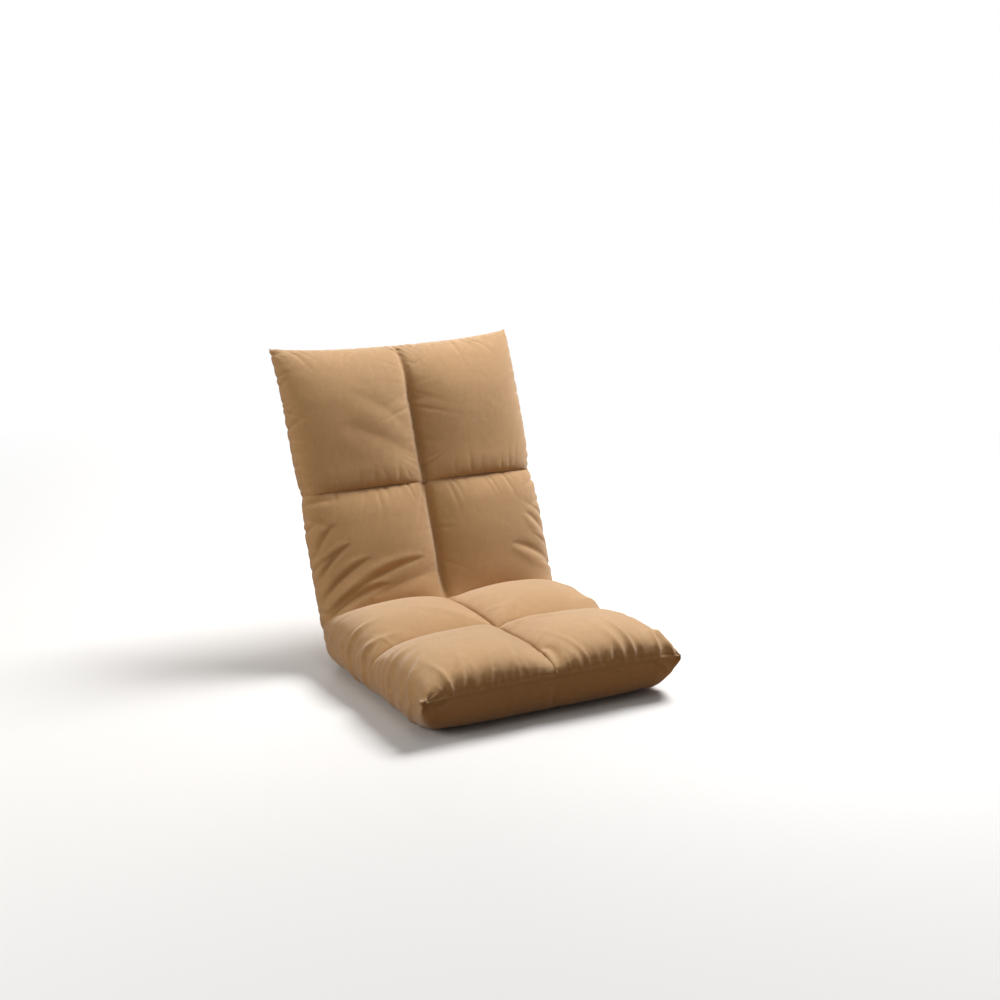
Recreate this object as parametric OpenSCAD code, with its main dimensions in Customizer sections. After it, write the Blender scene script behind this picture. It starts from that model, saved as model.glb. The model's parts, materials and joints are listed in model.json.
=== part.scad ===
/* [Overall sizes] */
// Width of the cushions between their corners, where the cover is drawn in
body_w = 484; // [440:2:560]
// How far each pinched pillow corner stands out sideways
corner_out = 8; // [4:1:14]
// How far each side is pinched in at the waist and neck creases
crease_pinch = 4; // [1:1:5]
// Waist hinge axis to the front seam of the seat
seat_len = 425; // [400:5:460]
// Waist hinge axis to neck hinge axis
back_len = 256; // [245:1:290]
// Neck hinge axis to the top corners of the head section
head_len = 286; // [276:1:310]
// Height of the waist hinge axis above the floor
axis_h = 60; // [59:0.5:62]
// Waist hinge axis behind the middle of the base
axis_back = 200; // [190:1:210]

/* [Reclining] */
// Angle between seat and back as drawn
rest_angle = 112.5; // [97.5:7.5:120]
// Smallest angle between seat and back
upright_angle = 75; // [60:7.5:75]
// Angle of one step of the waist ratchet
waist_step = 7.5; // [7.5]
// How far the head section tips forward
head_fold = 60; // [40:10:60]
// Angle of one step of the neck ratchet
neck_step = 10; // [10]

/* [Cushion forms] */
// Crown of the seat cells above the frame
seat_crown = 74; // [68:1:82]
// Crown of the back cells in front of the frame
back_crown = 61; // [57:1:68]
// Crown of the head cells in front of the frame
head_crown = 59; // [55:1:66]
// Padding behind the frame at the waist
waist_rear = 48; // [46:1:54]
// Padding behind the frame at the neck
neck_rear = 43; // [41:1:46]
// Padding behind the frame near the top of the head section
head_rear = 40; // [38:1:44]
// Share of the crown that the middle channel sinks
channel_dip = 0.5; // [0.25:0.01:0.52]
// Half width of a cell, as a share of half the width
cell_share = 0.5; // [0.3:0.01:0.5]
// How much shallower the middle channel is where it nears the top seam, as a share
channel_fade = 0.3; // [0.2:0.05:0.5]
// Waist hinge axis to the cross channel of the seat
cross_at = 212; // [200:2:240]
// Share of the crown that the cross channel sinks
cross_dip = 0.5; // [0.2:0.01:0.52]
// Half length of the cross channel
cross_half = 85; // [60:1:95]
// Share of the crown that is swell in the middle of a cell
cell_swell = 0.08; // [0.04:0.01:0.12]
// Depth of the waist crease in front of the hinge axis
waist_crease_h = 45; // [43:1:50]
// Depth of the neck crease in front of the hinge axis
neck_crease_h = 31; // [30:0.5:36]
// Length over which the seat and back round over into the waist crease
waist_round = 60; // [50:2:90]
// Length over which the back rounds over into the neck crease
neck_round = 70; // [50:2:80]
// Length over which the head section rounds over into the neck crease
head_round = 40; // [34:2:60]
// Length over which the seat rounds over to its front seam
front_round = 105; // [80:1:130]
// How far the front of the base is set back under the front seam
base_tuck = 62; // [54:1:76]
// How much farther the base is set back at its front corners
corner_tuck = 55; // [30:1:80]
// Height of the front seam above the frame at its middle
front_seam_h = 17; // [10:1:24]
// Height of the front seam above the frame at the corners
front_corner_h = 12; // [2:1:14]
// Length over which the head section rounds over to its top seam
top_round = 120; // [90:2:130]
// Top seam behind the frame
top_seam_h = -12; // [-28:1:-8]
// How far the top seam sags between the corners
top_sag = 15; // [6:1:18]
// Length over which the rear of the head section rounds over to its top seam
rear_round = 60; // [40:2:80]
// Thickness of a closed seam
seam_t = 3; // [2:0.5:4]

/* [Frame] */
// Each side rail inside the side of the pocket that holds it
rail_inset = 16; // [15.5:0.5:20]
// Outer radius of the side rails
tube_r = 9.5; // [9:0.1:9.6]
// Wall of the steel tube
tube_wall = 1.2; // [0.8:0.1:1.3]
// Bend radius of the frame corners
bend_r = 60; // [40:2:80]
// Radius of the cross tubes
cross_r = 6.35; // [5:0.1:7]
// Waist hinge axis to the front tube of the seat frame
seat_front_tube = 352; // [300:2:356]
// Waist hinge axis to the cross tube of the seat frame
seat_cross_tube_at = 150; // [90:2:200]
// Waist hinge axis to the lower cross tube of the back
back_cross_low = 88; // [80:1:100]
// Waist hinge axis to the upper cross tube of the back
back_cross_high = 176; // [150:1:180]
// Neck hinge axis to the top tube of the head frame
head_top_tube = 205; // [180:1:207]
// Neck hinge axis to the cross tube of the head frame
head_cross_tube_at = 88; // [80:1:110]

/* [Filling] */
// Padding between each side and the pocket that holds foam and frame
side_pad = 36; // [34:0.5:40]
// Height of the pocket in front of the frame
pocket_front = 22; // [21:0.5:24]
// Height of the pocket behind the frame
pocket_rear = 28; // [26:0.5:30]
// Waist hinge axis to the closed end of the seat pocket
seat_pocket_len = 370; // [368:1:374]
// Neck hinge axis to the closed end of the head pocket
head_pocket_len = 222; // [221:1:226]
// Room between the foam and what lies round it
foam_gap = 0.5; // [0.3:0.1:0.8]
// Radius of the open tunnel round each hinge axis
tunnel_r = 23.6; // [23.4:0.1:24]
// Thickness of the base cloth
cloth_t = 1.5; // [1:0.1:2]
// Base cloth inside each side of the cushion
cloth_inset = 39; // [37:1:60]
// Base cloth behind the front of the base, and in front of the waist axis
cloth_margin = 4; // [2:1:8]
// Corner radius of the base cloth
cloth_corner = 25; // [10:1:40]

/* [Ratchet hinges] */
// Tip radius of the ratchet teeth
tip_r = 13; // [12.6:0.1:13.1]
// Height of a ratchet tooth
tooth_h = 1.6; // [1.3:0.1:1.7]
// Thickness of the toothed arm
arm_t = 4; // [3.5:0.1:4.2]
// Width of the arm's tongue in the moving tube
tongue_w = 15; // [13:0.1:15]
// Hinge axis to the end of the tongue
tongue_len = 68; // [66:1:76]
// Hinge axis to the end of each tube
tube_start = 25; // [24.5:0.1:26]
// Outer radius of the hinge casing
case_r = 22.5; // [22.3:0.1:22.7]
// Thickness of the casing sheet
case_t = 2; // [1.6:0.1:2.1]
// Width of the casing rim
rim_w = 1.5; // [1:0.1:1.5]
// Length of the casing sockets on the fixed tube
socket_len = 34; // [32:1:36]
// Wall of the casing sockets
socket_wall = 1.5; // [1.2:0.1:1.6]
// Radius of the pivot rivet
pivot_r = 3.5; // [3:0.1:4]
// Radius of the pawl pin and casing rivets
pin_r = 1.6; // [1.3:0.1:1.8]
// Radius of the rivets through the tubes
tube_rivet_r = 2.5; // [2:0.1:2.7]
// Thickness of the pawl
pawl_t = 3.6; // [3:0.1:3.8]
// Thickness of the pawl spring's strip
spring_t = 0.6; // [0.4:0.1:0.7]

/* [Hidden] */
$fn = 48;
slide_gap = 0.3;
pin_gap = 0.1;
weld_gap = 0.2;
// Half of the gap that stays between two cushions when their end faces meet
face_gap = 0.2;
// Gap between a gusset and the end face of a cushion
gusset_gap = 0.3;

SEAT = 0;
BACK = 1;
HEAD = 2;
half_body = body_w / 2;
pocket_hw = half_body - side_pad;
rail_x = pocket_hw - rail_inset;
cloth_hw = half_body - cloth_inset;
section_len = [seat_len, back_len, head_len];
crown = [seat_crown, back_crown, head_crown];
seat_depth = axis_h - cloth_t - face_gap;
rear_low = [seat_depth, waist_rear, neck_rear];
rear_high = [seat_depth, neck_rear, head_rear];
low_round = [waist_round, waist_round * 0.85, head_round];
// Fullness of each section towards its sides
side_power = [5, 3.4, 3.4];
high_round = [front_round, neck_round, top_round];
// Angle of each cushion's front end face from its own frame plane
waist_face = upright_angle / 2;
neck_face = (180 - head_fold) / 2;
low_face = [waist_face, waist_face, neck_face];
low_crease_at = [rest_angle / 2, rest_angle / 2, 90];
back_tilt = 180 - rest_angle;
// Length over which the cover is pinched in beside a crease
pinch_len = 25;
// How suddenly the pinched corners stand out: a higher power is more sudden
tip_power = 5;
seam_sag = 3;
// Swell of the cells: where it peaks past the middle of a cell, and how far it reaches
front_bulge = 12;
rear_bulge = 14;
back_bulge = 20;
cell_reach = 65;
pocket_bow = 0.6;
foam_hw = pocket_hw - pocket_bow - foam_gap;
tunnel_gap = 3;

// Places across the width, as shares of half the width
ACROSS_HALF = [0.97, 0.9, 0.8, 0.65, 0.5, 0.35, 0.2, 0.1, 0.04];
ACROSS = concat([-1], [for (u = ACROSS_HALF) -u], [0],
    [for (i = [len(ACROSS_HALF) - 1:-1:0]) ACROSS_HALF[i]], [1]);
LAST = len(ACROSS) - 1;
RING = 2 * LAST;
// Places along a section, as shares of its length
ALONG = [0, 0.03, 0.07, 0.12, 0.18, 0.25, 0.33, 0.4, 0.46, 0.5, 0.54, 0.6, 0.68, 0.76, 0.83, 0.89, 0.94, 0.975, 0.993, 1];
corner_edge = ACROSS_HALF[1];

function mix(a, b, t) = a + (b - a) * t;
function polar(r, a) = [r * cos(a), r * sin(a)];
// Shoulder of a cushion: 0 at its edge, 1 where the crown begins
function shoulder(t) = let (c = max(0, min(1, t))) sqrt(1 - pow(1 - c, 2));
// The same with a blunter edge, for the thick front of the seat
function blunt(t) = let (c = max(0, min(1, t))) pow(1 - pow(1 - c, 2.5), 1 / 2.5);
// Fall of a cushion towards its sides: 1 in the middle, 0 at the side
function side_fall(u, p, q) = pow(max(0, 1 - pow(abs(u), p)), 1 / q);
// Sag of a crease at the middle channel: 1 in the channel, 0 beside it
function dip(d, half) = pow(1 - min(1, abs(d) / half), 2);
// Pull of a sewn channel: 1 in the channel, and 0 where the cell is full
function sewn(d, half) = let (t = min(1, abs(d) / half)) (pow(1 - t, 2.6) + 1 - shoulder(t)) / 2;
// Swell of a cell round its middle
function dome(s, at, half) = exp(-pow((s - at) / half, 2));
function smooth(t) = let (c = max(0, min(1, t))) c * c * (3 - 2 * c);

// Half width of a section at distance s from its lower axis
function half_w(k, s) = half_body - crease_pinch * exp(-abs(s) / pinch_len)
    - (k == BACK ? crease_pinch * exp(-abs(back_len - s) / pinch_len) : 0)
    + (k == BACK ? 0 : corner_out * pow(max(0, s) / section_len[k], tip_power));
// Depth of the creases in front of the hinge axes
function waist_crease(u) = waist_crease_h * (1 - 0.14 * dip(u, 0.2)) * side_fall(u, 10, 3);
function neck_crease(u) = neck_crease_h * (1 - 0.07 * dip(u, 0.2)) * side_fall(u, 10, 3);
// Share of the crown that a cell reaches along a section
function swell(k, s) = 1 - cell_swell * (1 - (k == SEAT
    ? dome(s, (cross_at + seat_len) / 2 + front_bulge, cell_reach) + dome(s, cross_at / 2 + rear_bulge, cell_reach)
    : dome(s, section_len[k] / 2 + (k == BACK ? back_bulge : -back_bulge), cell_reach)));
// Depth of the channels as a share of the crown
function channel(k, u, s) = max(
    channel_dip * sewn(u, cell_share) * (k == HEAD ? 1 - channel_fade * smooth((s / head_len - 0.53) / 0.2) : 1),
    k == SEAT ? cross_dip * sewn(s - cross_at, cross_half) : 0);
// Puffed cells, with the middle channel and the seat's cross channel
function cells(k, u, s) = crown[k] * (1 - channel(k, u, s)) * side_fall(u, side_power[k], 2.4) * swell(k, s);
// Where the closed seam of the seat or head section lies
function seam_s(k, u) = k == SEAT ? seat_len - seam_sag * dip(u, 0.2) : head_len - top_sag * (1 - pow(abs(u), 3));
function seam_h(k, u) = k == SEAT ? mix(front_corner_h, front_seam_h, 1 - u * u) : top_seam_h;
// Height of the front face above the frame plane
function front_h(k, u, s) =
    s < section_len[k] / 2
    ? let (c = k == HEAD ? neck_crease(u) : waist_crease(u))
        mix(c, cells(k, u, s), shoulder((s - c / tan(low_crease_at[k])) / low_round[k]))
    : k == BACK
    ? mix(neck_crease(u), cells(k, u, s), shoulder((back_len - s) / neck_round))
    : let (t = (seam_s(k, u) - s) / high_round[k])
        mix(seam_h(k, u) + seam_t / 2 * side_fall(u, 4, 1), cells(k, u, s), k == SEAT ? blunt(t) : shoulder(t));
// Depth of the rear face behind the frame plane, before its ends close
function rear_full(k, u, s) =
    k == SEAT ? min(seat_depth, 1.12 * seat_depth * side_fall(u, 8, 3))
    : mix(rear_low[k], rear_high[k], max(0, s) / section_len[k]) * side_fall(u, 6, 2.5);
function rear_h(k, u, s) =
    k == BACK ? -rear_full(k, u, s)
    : mix(seam_h(k, u) - seam_t / 2, -rear_full(k, u, s), k == SEAT
        ? blunt((seam_s(k, u) - s) / (base_tuck + corner_tuck * pow(abs(u), tip_power)))
        : shoulder((seam_s(k, u) - s) / rear_round));

// Distance from the axis at which the front face meets a slanted end face
function face_s(k, u, face, gap, from_top = false, n = 14, s = 40) =
    n == 0 ? s
    : face_s(k, u, face, gap, from_top, n - 1,
        front_h(k, u, from_top ? back_len - s : s) / tan(face) + gap / sin(face));

// Distance along the section of station t, between its two ends, with the seat's middle station in the cross channel
function station(k, u, t, front) =
    let (low = front ? face_s(k, u, low_face[k], face_gap) : face_gap,
        high = k == BACK ? (front ? face_s(k, u, neck_face, face_gap, true) : face_gap)
            : section_len[k] - seam_s(k, u),
        middle = (4 * section_len[k] + low - high) / 8)
    section_len[k] * t + low * pow(1 - t, 3) - high * pow(t, 3)
    + (k == SEAT ? (cross_at - middle) * pow(1 - abs(2 * t - 1), 1.5) : 0);

// One closed ring of points: the front face from side to side, then the rear face back
function ring(k, t) = concat(
    [for (u = ACROSS) let (s = station(k, u, t, true)) [u * half_w(k, s), s, front_h(k, u, s)]],
    [for (i = [LAST - 1:-1:1]) let (u = ACROSS[i], s = station(k, u, t, false))
        [u * half_w(k, s), s, rear_h(k, u, s)]]);

// Outline of the pocket, point for point with the ring round it
function pocket_x(u) = abs(u) >= corner_edge
    ? sign(u) * (pocket_hw - pocket_bow * (1 - abs(u)) / (1 - corner_edge))
    : u / corner_edge * (pocket_hw - pocket_bow);
function pocket_share(u) = min(1, (1 - abs(u)) / (1 - corner_edge));
function pocket_ring(s0, face, dir) = concat(
    [for (u = ACROSS) let (h = pocket_front * pocket_share(u))
        [pocket_x(u), s0 + dir * (face == 90 ? 0 : h / tan(face) + face_gap / sin(face)), h]],
    [for (i = [LAST - 1:-1:1]) let (u = ACROSS[i])
        [pocket_x(u), s0 + dir * (face == 90 ? 0 : face_gap), -pocket_rear * pocket_share(u)]]);

// Triangles of the wall between two rings that start at points a and b
function wall(a, b, n) = [for (i = [0:n - 1]) let (j = (i + 1) % n)
    each [[a + i, b + i, b + j], [a + i, b + j, a + j]]];
// Triangles that close one ring, from its front row to its rear row
function lid(a, n) = let (half = n / 2) concat(
    [[a, a + 1, a + n - 1]],
    [for (j = [1:half - 2]) each [[a + j, a + j + 1, a + n - j - 1], [a + j, a + n - j - 1, a + n - j]]],
    [[a + half - 1, a + half, a + half + 1]]);
function flip(tris) = [for (t = tris) [t[2], t[1], t[0]]];

// A padded section with its crown, channels and the pocket for foam and frame
module padded_section(k, pocket_len) {
    rows = len(ALONG);
    inner_low = rows * RING;
    inner_high = inner_low + RING;
    through = k == BACK;
    points = concat(
        [for (t = ALONG) each ring(k, t)],
        pocket_ring(0, low_face[k], 1),
        through ? pocket_ring(back_len, neck_face, -1) : pocket_ring(pocket_len, 90, 1));
    faces = concat(
        [for (r = [0:rows - 2]) each wall(r * RING, (r + 1) * RING, RING)],
        flip(wall(0, inner_low, RING)),
        flip(wall(inner_low, inner_high, RING)),
        through ? wall((rows - 1) * RING, inner_high, RING)
        : concat(flip(lid((rows - 1) * RING, RING)), lid(inner_high, RING)));
    polyhedron(points = points, faces = faces, convexity = 6);
}

// Places across a gusset, with a step where the hinge tunnel ends
gusset_u = pocket_hw / half_w(SEAT, 0);
GUSSET_HALF = [0.985, 0.97, 0.9, gusset_u + 0.002, gusset_u, 0.8, 0.65, 0.5, 0.35, 0.2, 0.1, 0.04];
GUSSET_ACROSS = concat([for (u = GUSSET_HALF) -u], [0],
    [for (i = [len(GUSSET_HALF) - 1:-1:0]) GUSSET_HALF[i]]);
gusset_core = 3;
function gusset_inner(u) = abs(u) > gusset_u ? gusset_core : tunnel_r;

// A point of a section in the plane across the axis, with the other section turned by tilt
function fixed_side(s, h) = [-s, h];
function moving_side(s, h, tilt) = [s * cos(tilt) - h * sin(tilt), s * sin(tilt) + h * cos(tilt)];
// A point at radius r and angle a, moved sideways by g
function beside(r, a, g) = [r * cos(a) - g * sin(a), r * sin(a) + g * cos(a)];

// Outer points of a front gusset: down the fixed section into the crease, and up the moving one
function gusset_flanks(u, kf, km, face, tilt, from_top) =
    let (g = face_gap - gusset_gap,
        crease = (180 - tilt) / 2,
        c = kf == SEAT ? waist_crease(u) : neck_crease(u),
        cs = c / tan(crease),
        sf = face_s(kf, u, face, g, from_top),
        sm = face_s(km, u, face, g))
    concat(
        [for (i = [0:2]) let (s = mix(sf, cs, i / 3), at = from_top ? back_len - s : s)
            [u * half_w(kf, at), each fixed_side(s, i == 0 ? (s * sin(face) - g) / cos(face) : front_h(kf, u, at))]],
        [[u * half_w(km, cs), each fixed_side(cs, c)]],
        [for (i = [2:-1:0]) let (s = mix(sm, cs, i / 3))
            [u * half_w(km, s), each moving_side(s, i == 0 ? (s * sin(face) - g) / cos(face) : front_h(km, u, s), tilt)]]);
function gusset_tunnel(u, face, tilt) =
    let (r = gusset_inner(u), g = gusset_gap - face_gap, a0 = 180 - face, a1 = tilt + face)
    [for (i = [6:-1:0]) let (a = mix(a0, a1, i / 6), shift = i == 0 ? -g : (i == 6 ? g : 0))
        [u * half_w(SEAT, 0), each beside(r, a, shift)]];

module gusset_mesh(rings, n) {
    rows = len(rings);
    polyhedron(
        points = [for (r = rings) each r],
        faces = concat(
            [for (r = [0:rows - 2]) each flip(wall(r * n, (r + 1) * n, n))],
            flip(strip_lid(0, n)),
            strip_lid((rows - 1) * n, n)),
        convexity = 6);
}
// Triangles between the outer row and the inner row of one gusset ring
function strip_lid(a, n) = [for (j = [0:n / 2 - 2])
    each [[a + j, a + j + 1, a + n - j - 2], [a + j, a + n - j - 2, a + n - j - 1]]];

module in_seat() { translate([0, axis_back, axis_h]) rotate([0, 0, 180]) children(); }
module at_waist() { translate([0, axis_back, axis_h]) children(); }
module in_back() { at_waist() rotate([back_tilt, 0, 0]) children(); }
module in_head() { in_back() translate([0, back_len, 0]) children(); }
// Draws a flat outline across the chair, its x along the section and its y to the front
module across(x0, x1) { translate([x0, 0, 0]) rotate([90, 0, 90]) linear_extrude(x1 - x0) children(); }
module bar(r, x0, x1) { translate([x0, 0, 0]) rotate([0, 90, 0]) cylinder(r = r, h = x1 - x0); }
module along(r, s0, s1) { translate([0, s0, 0]) rotate([-90, 0, 0]) cylinder(r = r, h = s1 - s0); }

// Two legs, two bends and a cross bar, as one bent bar of radius r
module bent_bar(r, s0, cross_s) {
    for (side = [-1, 1]) {
        translate([side * rail_x, 0, 0]) along(r, s0, cross_s - bend_r);
        translate([side * (rail_x - bend_r), cross_s - bend_r, 0])
            rotate([0, 0, side > 0 ? 0 : 90])
                rotate_extrude(angle = 90) translate([bend_r, 0]) circle(r = r);
    }
    translate([0, cross_s, 0]) bar(r, bend_r - rail_x, rail_x - bend_r);
}

// Places of the two rivets through a tube, from the tube's end
rivet_places = [13, 27];
module tube_rivet_holes(sides, ends) {
    for (side = sides, s = ends)
        translate([side * rail_x, s, 0]) bar(tube_rivet_r + pin_gap, -2 * tube_r, 2 * tube_r);
}
low_holes = [for (p = rivet_places) tube_start + p];

module bent_tube(cross_s) {
    difference() {
        bent_bar(tube_r, tube_start, cross_s);
        bent_bar(tube_r - tube_wall, tube_start - 1, cross_s);
        tube_rivet_holes([-1, 1], low_holes);
    }
}

module side_tube(side) {
    in_back() difference() {
        translate([side * rail_x, 0, 0]) difference() {
            along(tube_r, tube_start, back_len - tube_start);
            along(tube_r - tube_wall, tube_start - 1, back_len - tube_start + 1);
        }
        tube_rivet_holes([side], concat(low_holes, [for (s = low_holes) back_len - s]));
    }
}

// A tube welded between the rails, its ends cut round to fit them
module cross_tube(s) {
    difference() {
        translate([0, s, 0]) bar(cross_r, -rail_x, rail_x);
        translate([0, s, 0]) bar(cross_r - tube_wall, -rail_x - 1, rail_x + 1);
        for (side = [-1, 1])
            translate([side * rail_x, 0, 0]) along(tube_r + weld_gap, s - 3 * cross_r, s + 3 * cross_r);
    }
}

// Half of the foam block of a section, from its outline along and across the frame plane
module foam_block(outline) { across(-foam_hw, foam_hw) polygon(outline); }
foam_start = tunnel_r + tunnel_gap;
foam_split = foam_gap / 2;
// Foam that stays at the side of the room for a hinge's sockets
room_wall = 0.8;
// Room between the end of a socket and the foam
room_gap = 4;
module hinge_room(s0, s1) {
    for (side = [-1, 1])
        translate([side * rail_x, 0, 0]) along(foam_hw - rail_x - room_wall, s0, s1);
}
room_len = tube_start + socket_len + room_gap;
function front_outline(k, s1) =
    let (h = pocket_front - foam_gap, f = low_face[k], g = foam_gap / sin(f), hk = (foam_start - g) * tan(f))
    hk < h
    ? [[foam_start, foam_split], [foam_start, hk], [h / tan(f) + g, h], [s1, h], [s1, foam_split]]
    : [[foam_start, foam_split], [foam_start, h], [s1, h], [s1, foam_split]];
function rear_outline(s1) =
    let (h = pocket_rear - foam_gap)
    [[foam_start, -foam_split], [s1, -foam_split], [s1, -h], [foam_start, -h]];

module seat_foam(outline) {
    difference() {
        foam_block(outline);
        bent_bar(tube_r + foam_gap, 0, seat_front_tube);
        hinge_room(0, room_len);
        translate([0, seat_cross_tube_at, 0]) bar(cross_r + foam_gap, -rail_x, rail_x);
    }
}
module back_foam(outline) {
    difference() {
        foam_block(outline);
        for (side = [-1, 1]) translate([side * rail_x, 0, 0]) along(tube_r + foam_gap, 0, back_len);
        hinge_room(0, room_len);
        hinge_room(back_len - room_len, back_len);
        for (s = [back_cross_low, back_cross_high])
            translate([0, s, 0]) bar(cross_r + foam_gap, -rail_x, rail_x);
    }
}
module head_foam(outline) {
    difference() {
        foam_block(outline);
        bent_bar(tube_r + foam_gap, 0, head_top_tube);
        hinge_room(0, room_len);
        translate([0, head_cross_tube_at, 0]) bar(cross_r + foam_gap, -rail_x, rail_x);
    }
}

// Ratchet hinge: the fixed tube lies towards -y, and the arm turns up from +y towards +z
contact_a = 262.5;
tooth_margin = 12;
root_r = tip_r - tooth_h;
plate_x = arm_t / 2 + slide_gap;
rim_in = case_r - rim_w;
// Circle of the casing rivets, between the teeth and the rim
rivet_r = (tip_r + rim_in) / 2 + 0.5;
pawl_r = rivet_r - 0.5;
spring_r = rivet_r + 0.5;
pawl_at = polar(pawl_r, 207);
spring_at = polar(spring_r, 316);
rivet_a = polar(rivet_r, 150);
rivet_b = polar(rivet_r, 178);
// Room between the pawl and the teeth: at its tip, one tooth behind it, and along its belly
tip_gap = 0.35;
behind_gap = 0.55;
belly_gap = 0.9;
// Wall of the pawl's eye, and the outside of the pawl at its tip, back and hip
eye_wall = 1.6;
pawl_top = pawl_r + 0.4;
back_rise = 1;
hip_rise = 2.4;
// How far the tail of the pawl spring lies outside its rivet's circle
tail_out = 0.55;
// Hub of the arm inside the teeth's roots
hub_step = 0.6;
// Heads of the rivets: how far they stand out, and how thick they are
small_head = 1.2;
small_head_t = 1;
large_head = 1.5;
large_head_t = 1.2;
pivot_head_t = 1.8;
socket_in = tube_r + pin_gap;
socket_out = socket_in + socket_wall;
arm_spread = asin(tongue_w / 2 / rim_in) + 1.2;

module gear_arm(angle, range, step) {
    n = round((range + 2 * tooth_margin) / step);
    first = contact_a - range - round(tooth_margin / step) * step;
    rotate([angle, 0, 0]) difference() {
        union() {
            bar(root_r - hub_step, -arm_t / 2, arm_t / 2);
            across(-arm_t / 2, arm_t / 2) polygon(concat([[0, 0]],
                [for (i = [0:n - 1]) each [polar(root_r, first + i * step), polar(tip_r, first + i * step)]],
                [polar(root_r, first + n * step)]));
            across(-arm_t / 2, arm_t / 2) translate([0, -tongue_w / 2]) square([tongue_len, tongue_w]);
        }
        bar(pivot_r + pin_gap, -arm_t, arm_t);
        for (s = low_holes) translate([0, s, 0]) bar(tube_rivet_r + pin_gap, -arm_t, arm_t);
    }
}

// The half of the casing on the +x side
module casing_half(range) {
    open_mid = range / 2;
    open_half = range / 2 + arm_spread;
    difference() {
        union() {
            bar(case_r, plate_x, plate_x + case_t);
            difference() {
                bar(case_r, pin_gap, plate_x + case_t / 2);
                bar(rim_in, 0, plate_x + case_t);
                across(0, plate_x) polygon([[0, 0],
                    for (i = [0:4]) polar(2 * case_r, open_mid + mix(-open_half, open_half, i / 4))]);
            }
            translate([plate_x, -tube_start + pin_gap, -socket_out]) cube([case_t, tube_start, 2 * socket_out]);
            difference() {
                along(socket_out, -tube_start - socket_len, -tube_start + case_t);
                along(socket_in, -tube_start - socket_len - 1, -tube_start + pin_gap);
                translate([-3 * socket_out, -2 * case_r - socket_len, -socket_out - 1])
                    cube([3 * socket_out + pin_gap, 2 * case_r + socket_len, 2 * socket_out + 2]);
            }
        }
        bar(pivot_r + pin_gap, 0, 2 * case_r);
        for (p = [pawl_at, spring_at, rivet_a, rivet_b])
            translate([0, p[0], p[1]]) bar(pin_r + pin_gap, 0, case_r);
        for (s = low_holes) translate([0, -s, 0]) bar(tube_rivet_r + pin_gap, 0, case_r);
    }
}

module pawl(step) {
    tip_a = contact_a - 1.3;
    difference() {
        union() {
            across(-pawl_t / 2, pawl_t / 2) polygon([
                polar(root_r + tip_gap, tip_a),
                polar(tip_r + behind_gap, tip_a - step),
                polar(tip_r + belly_gap, 232),
                polar(tip_r + belly_gap + pin_gap, 214),
                pawl_at,
                polar(pawl_top + hip_rise, 210),
                polar(pawl_top + back_rise, 235),
                polar(pawl_top, tip_a)]);
            translate([0, pawl_at[0], pawl_at[1]]) bar(pin_r + eye_wall, -pawl_t / 2, pawl_t / 2);
        }
        translate([0, pawl_at[0], pawl_at[1]]) bar(pin_r + pin_gap, -pawl_t, pawl_t);
    }
}

// Strip that presses on the pawl's tip, with an eye round its rivet
module pawl_spring() {
    half = pawl_t / 2 - pin_gap;
    tail = polar(spring_r + tail_out, 257);
    eye_r = pin_r + pin_gap + spring_t;
    aim = atan2(tail[1] - spring_at[1], tail[0] - spring_at[0]);
    start = spring_at + polar(eye_r - spring_t / 2, aim + 90);
    dir = (tail - start) / norm(tail - start);
    side = [-dir[1], dir[0]] * spring_t / 2;
    difference() {
        union() {
            translate([0, spring_at[0], spring_at[1]]) bar(eye_r, -half, half);
            across(-half, half) polygon([start - side, tail - side, tail + side, start + side]);
        }
        translate([0, spring_at[0], spring_at[1]]) bar(pin_r + pin_gap / 2, -pawl_t, pawl_t);
    }
}

module rivet(r, half, head_r, head_t) {
    bar(r, -half - 0.1, half + 0.1);
    bar(head_r, half, half + head_t);
    bar(head_r, -half - head_t, -half);
}
module case_rivets() {
    for (p = [pawl_at, spring_at, rivet_a, rivet_b])
        translate([0, p[0], p[1]]) rivet(pin_r, plate_x + case_t, pin_r + small_head, small_head_t);
    for (s = low_holes)
        translate([0, -s, 0]) rivet(tube_rivet_r, socket_out, tube_rivet_r + large_head, large_head_t);
}
module arm_rivets(angle) {
    rotate([angle, 0, 0])
        for (s = low_holes)
            translate([0, s, 0]) rivet(tube_rivet_r, tube_r, tube_rivet_r + large_head, large_head_t);
}

waist_range = 180 - upright_angle;
neck_range = head_fold;

// Everything of one hinge that its casing carries, by name
module hinge_piece(what, range, step, angle) {
    if (what == "arm") color("gainsboro") gear_arm(angle, range, step);
    if (what == "casing_outer") color("silver") casing_half(range);
    if (what == "casing_inner") color("silver") mirror([1, 0, 0]) casing_half(range);
    if (what == "pawl") color("darkgray") pawl(step);
    if (what == "spring") color("lightsteelblue") pawl_spring();
    if (what == "pivot") color("gray") rivet(pivot_r, plate_x + case_t, 2 * pivot_r, pivot_head_t);
    if (what == "case_rivets") color("gray") case_rivets();
    if (what == "arm_rivets") color("gray") arm_rivets(angle);
}
HINGE_PIECES = ["arm", "casing_outer", "casing_inner", "pawl", "spring", "pivot", "case_rivets", "arm_rivets"];
SIDES = [[-1, "left"], [1, "right"]];

module waist_hinge(side, what) {
    at_waist() translate([side * rail_x, 0, 0]) mirror([side < 0 ? 1 : 0, 0, 0])
        hinge_piece(what, waist_range, waist_step, back_tilt);
}
module neck_hinge(side, what) {
    in_head() translate([side * rail_x, 0, 0]) mirror([side < 0 ? 1 : 0, 0, 0])
        hinge_piece(what, neck_range, neck_step, 0);
}

cover = [0.76, 0.6, 0.42];
steel = [0.12, 0.12, 0.13];
filling = [0.93, 0.88, 0.7];

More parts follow.
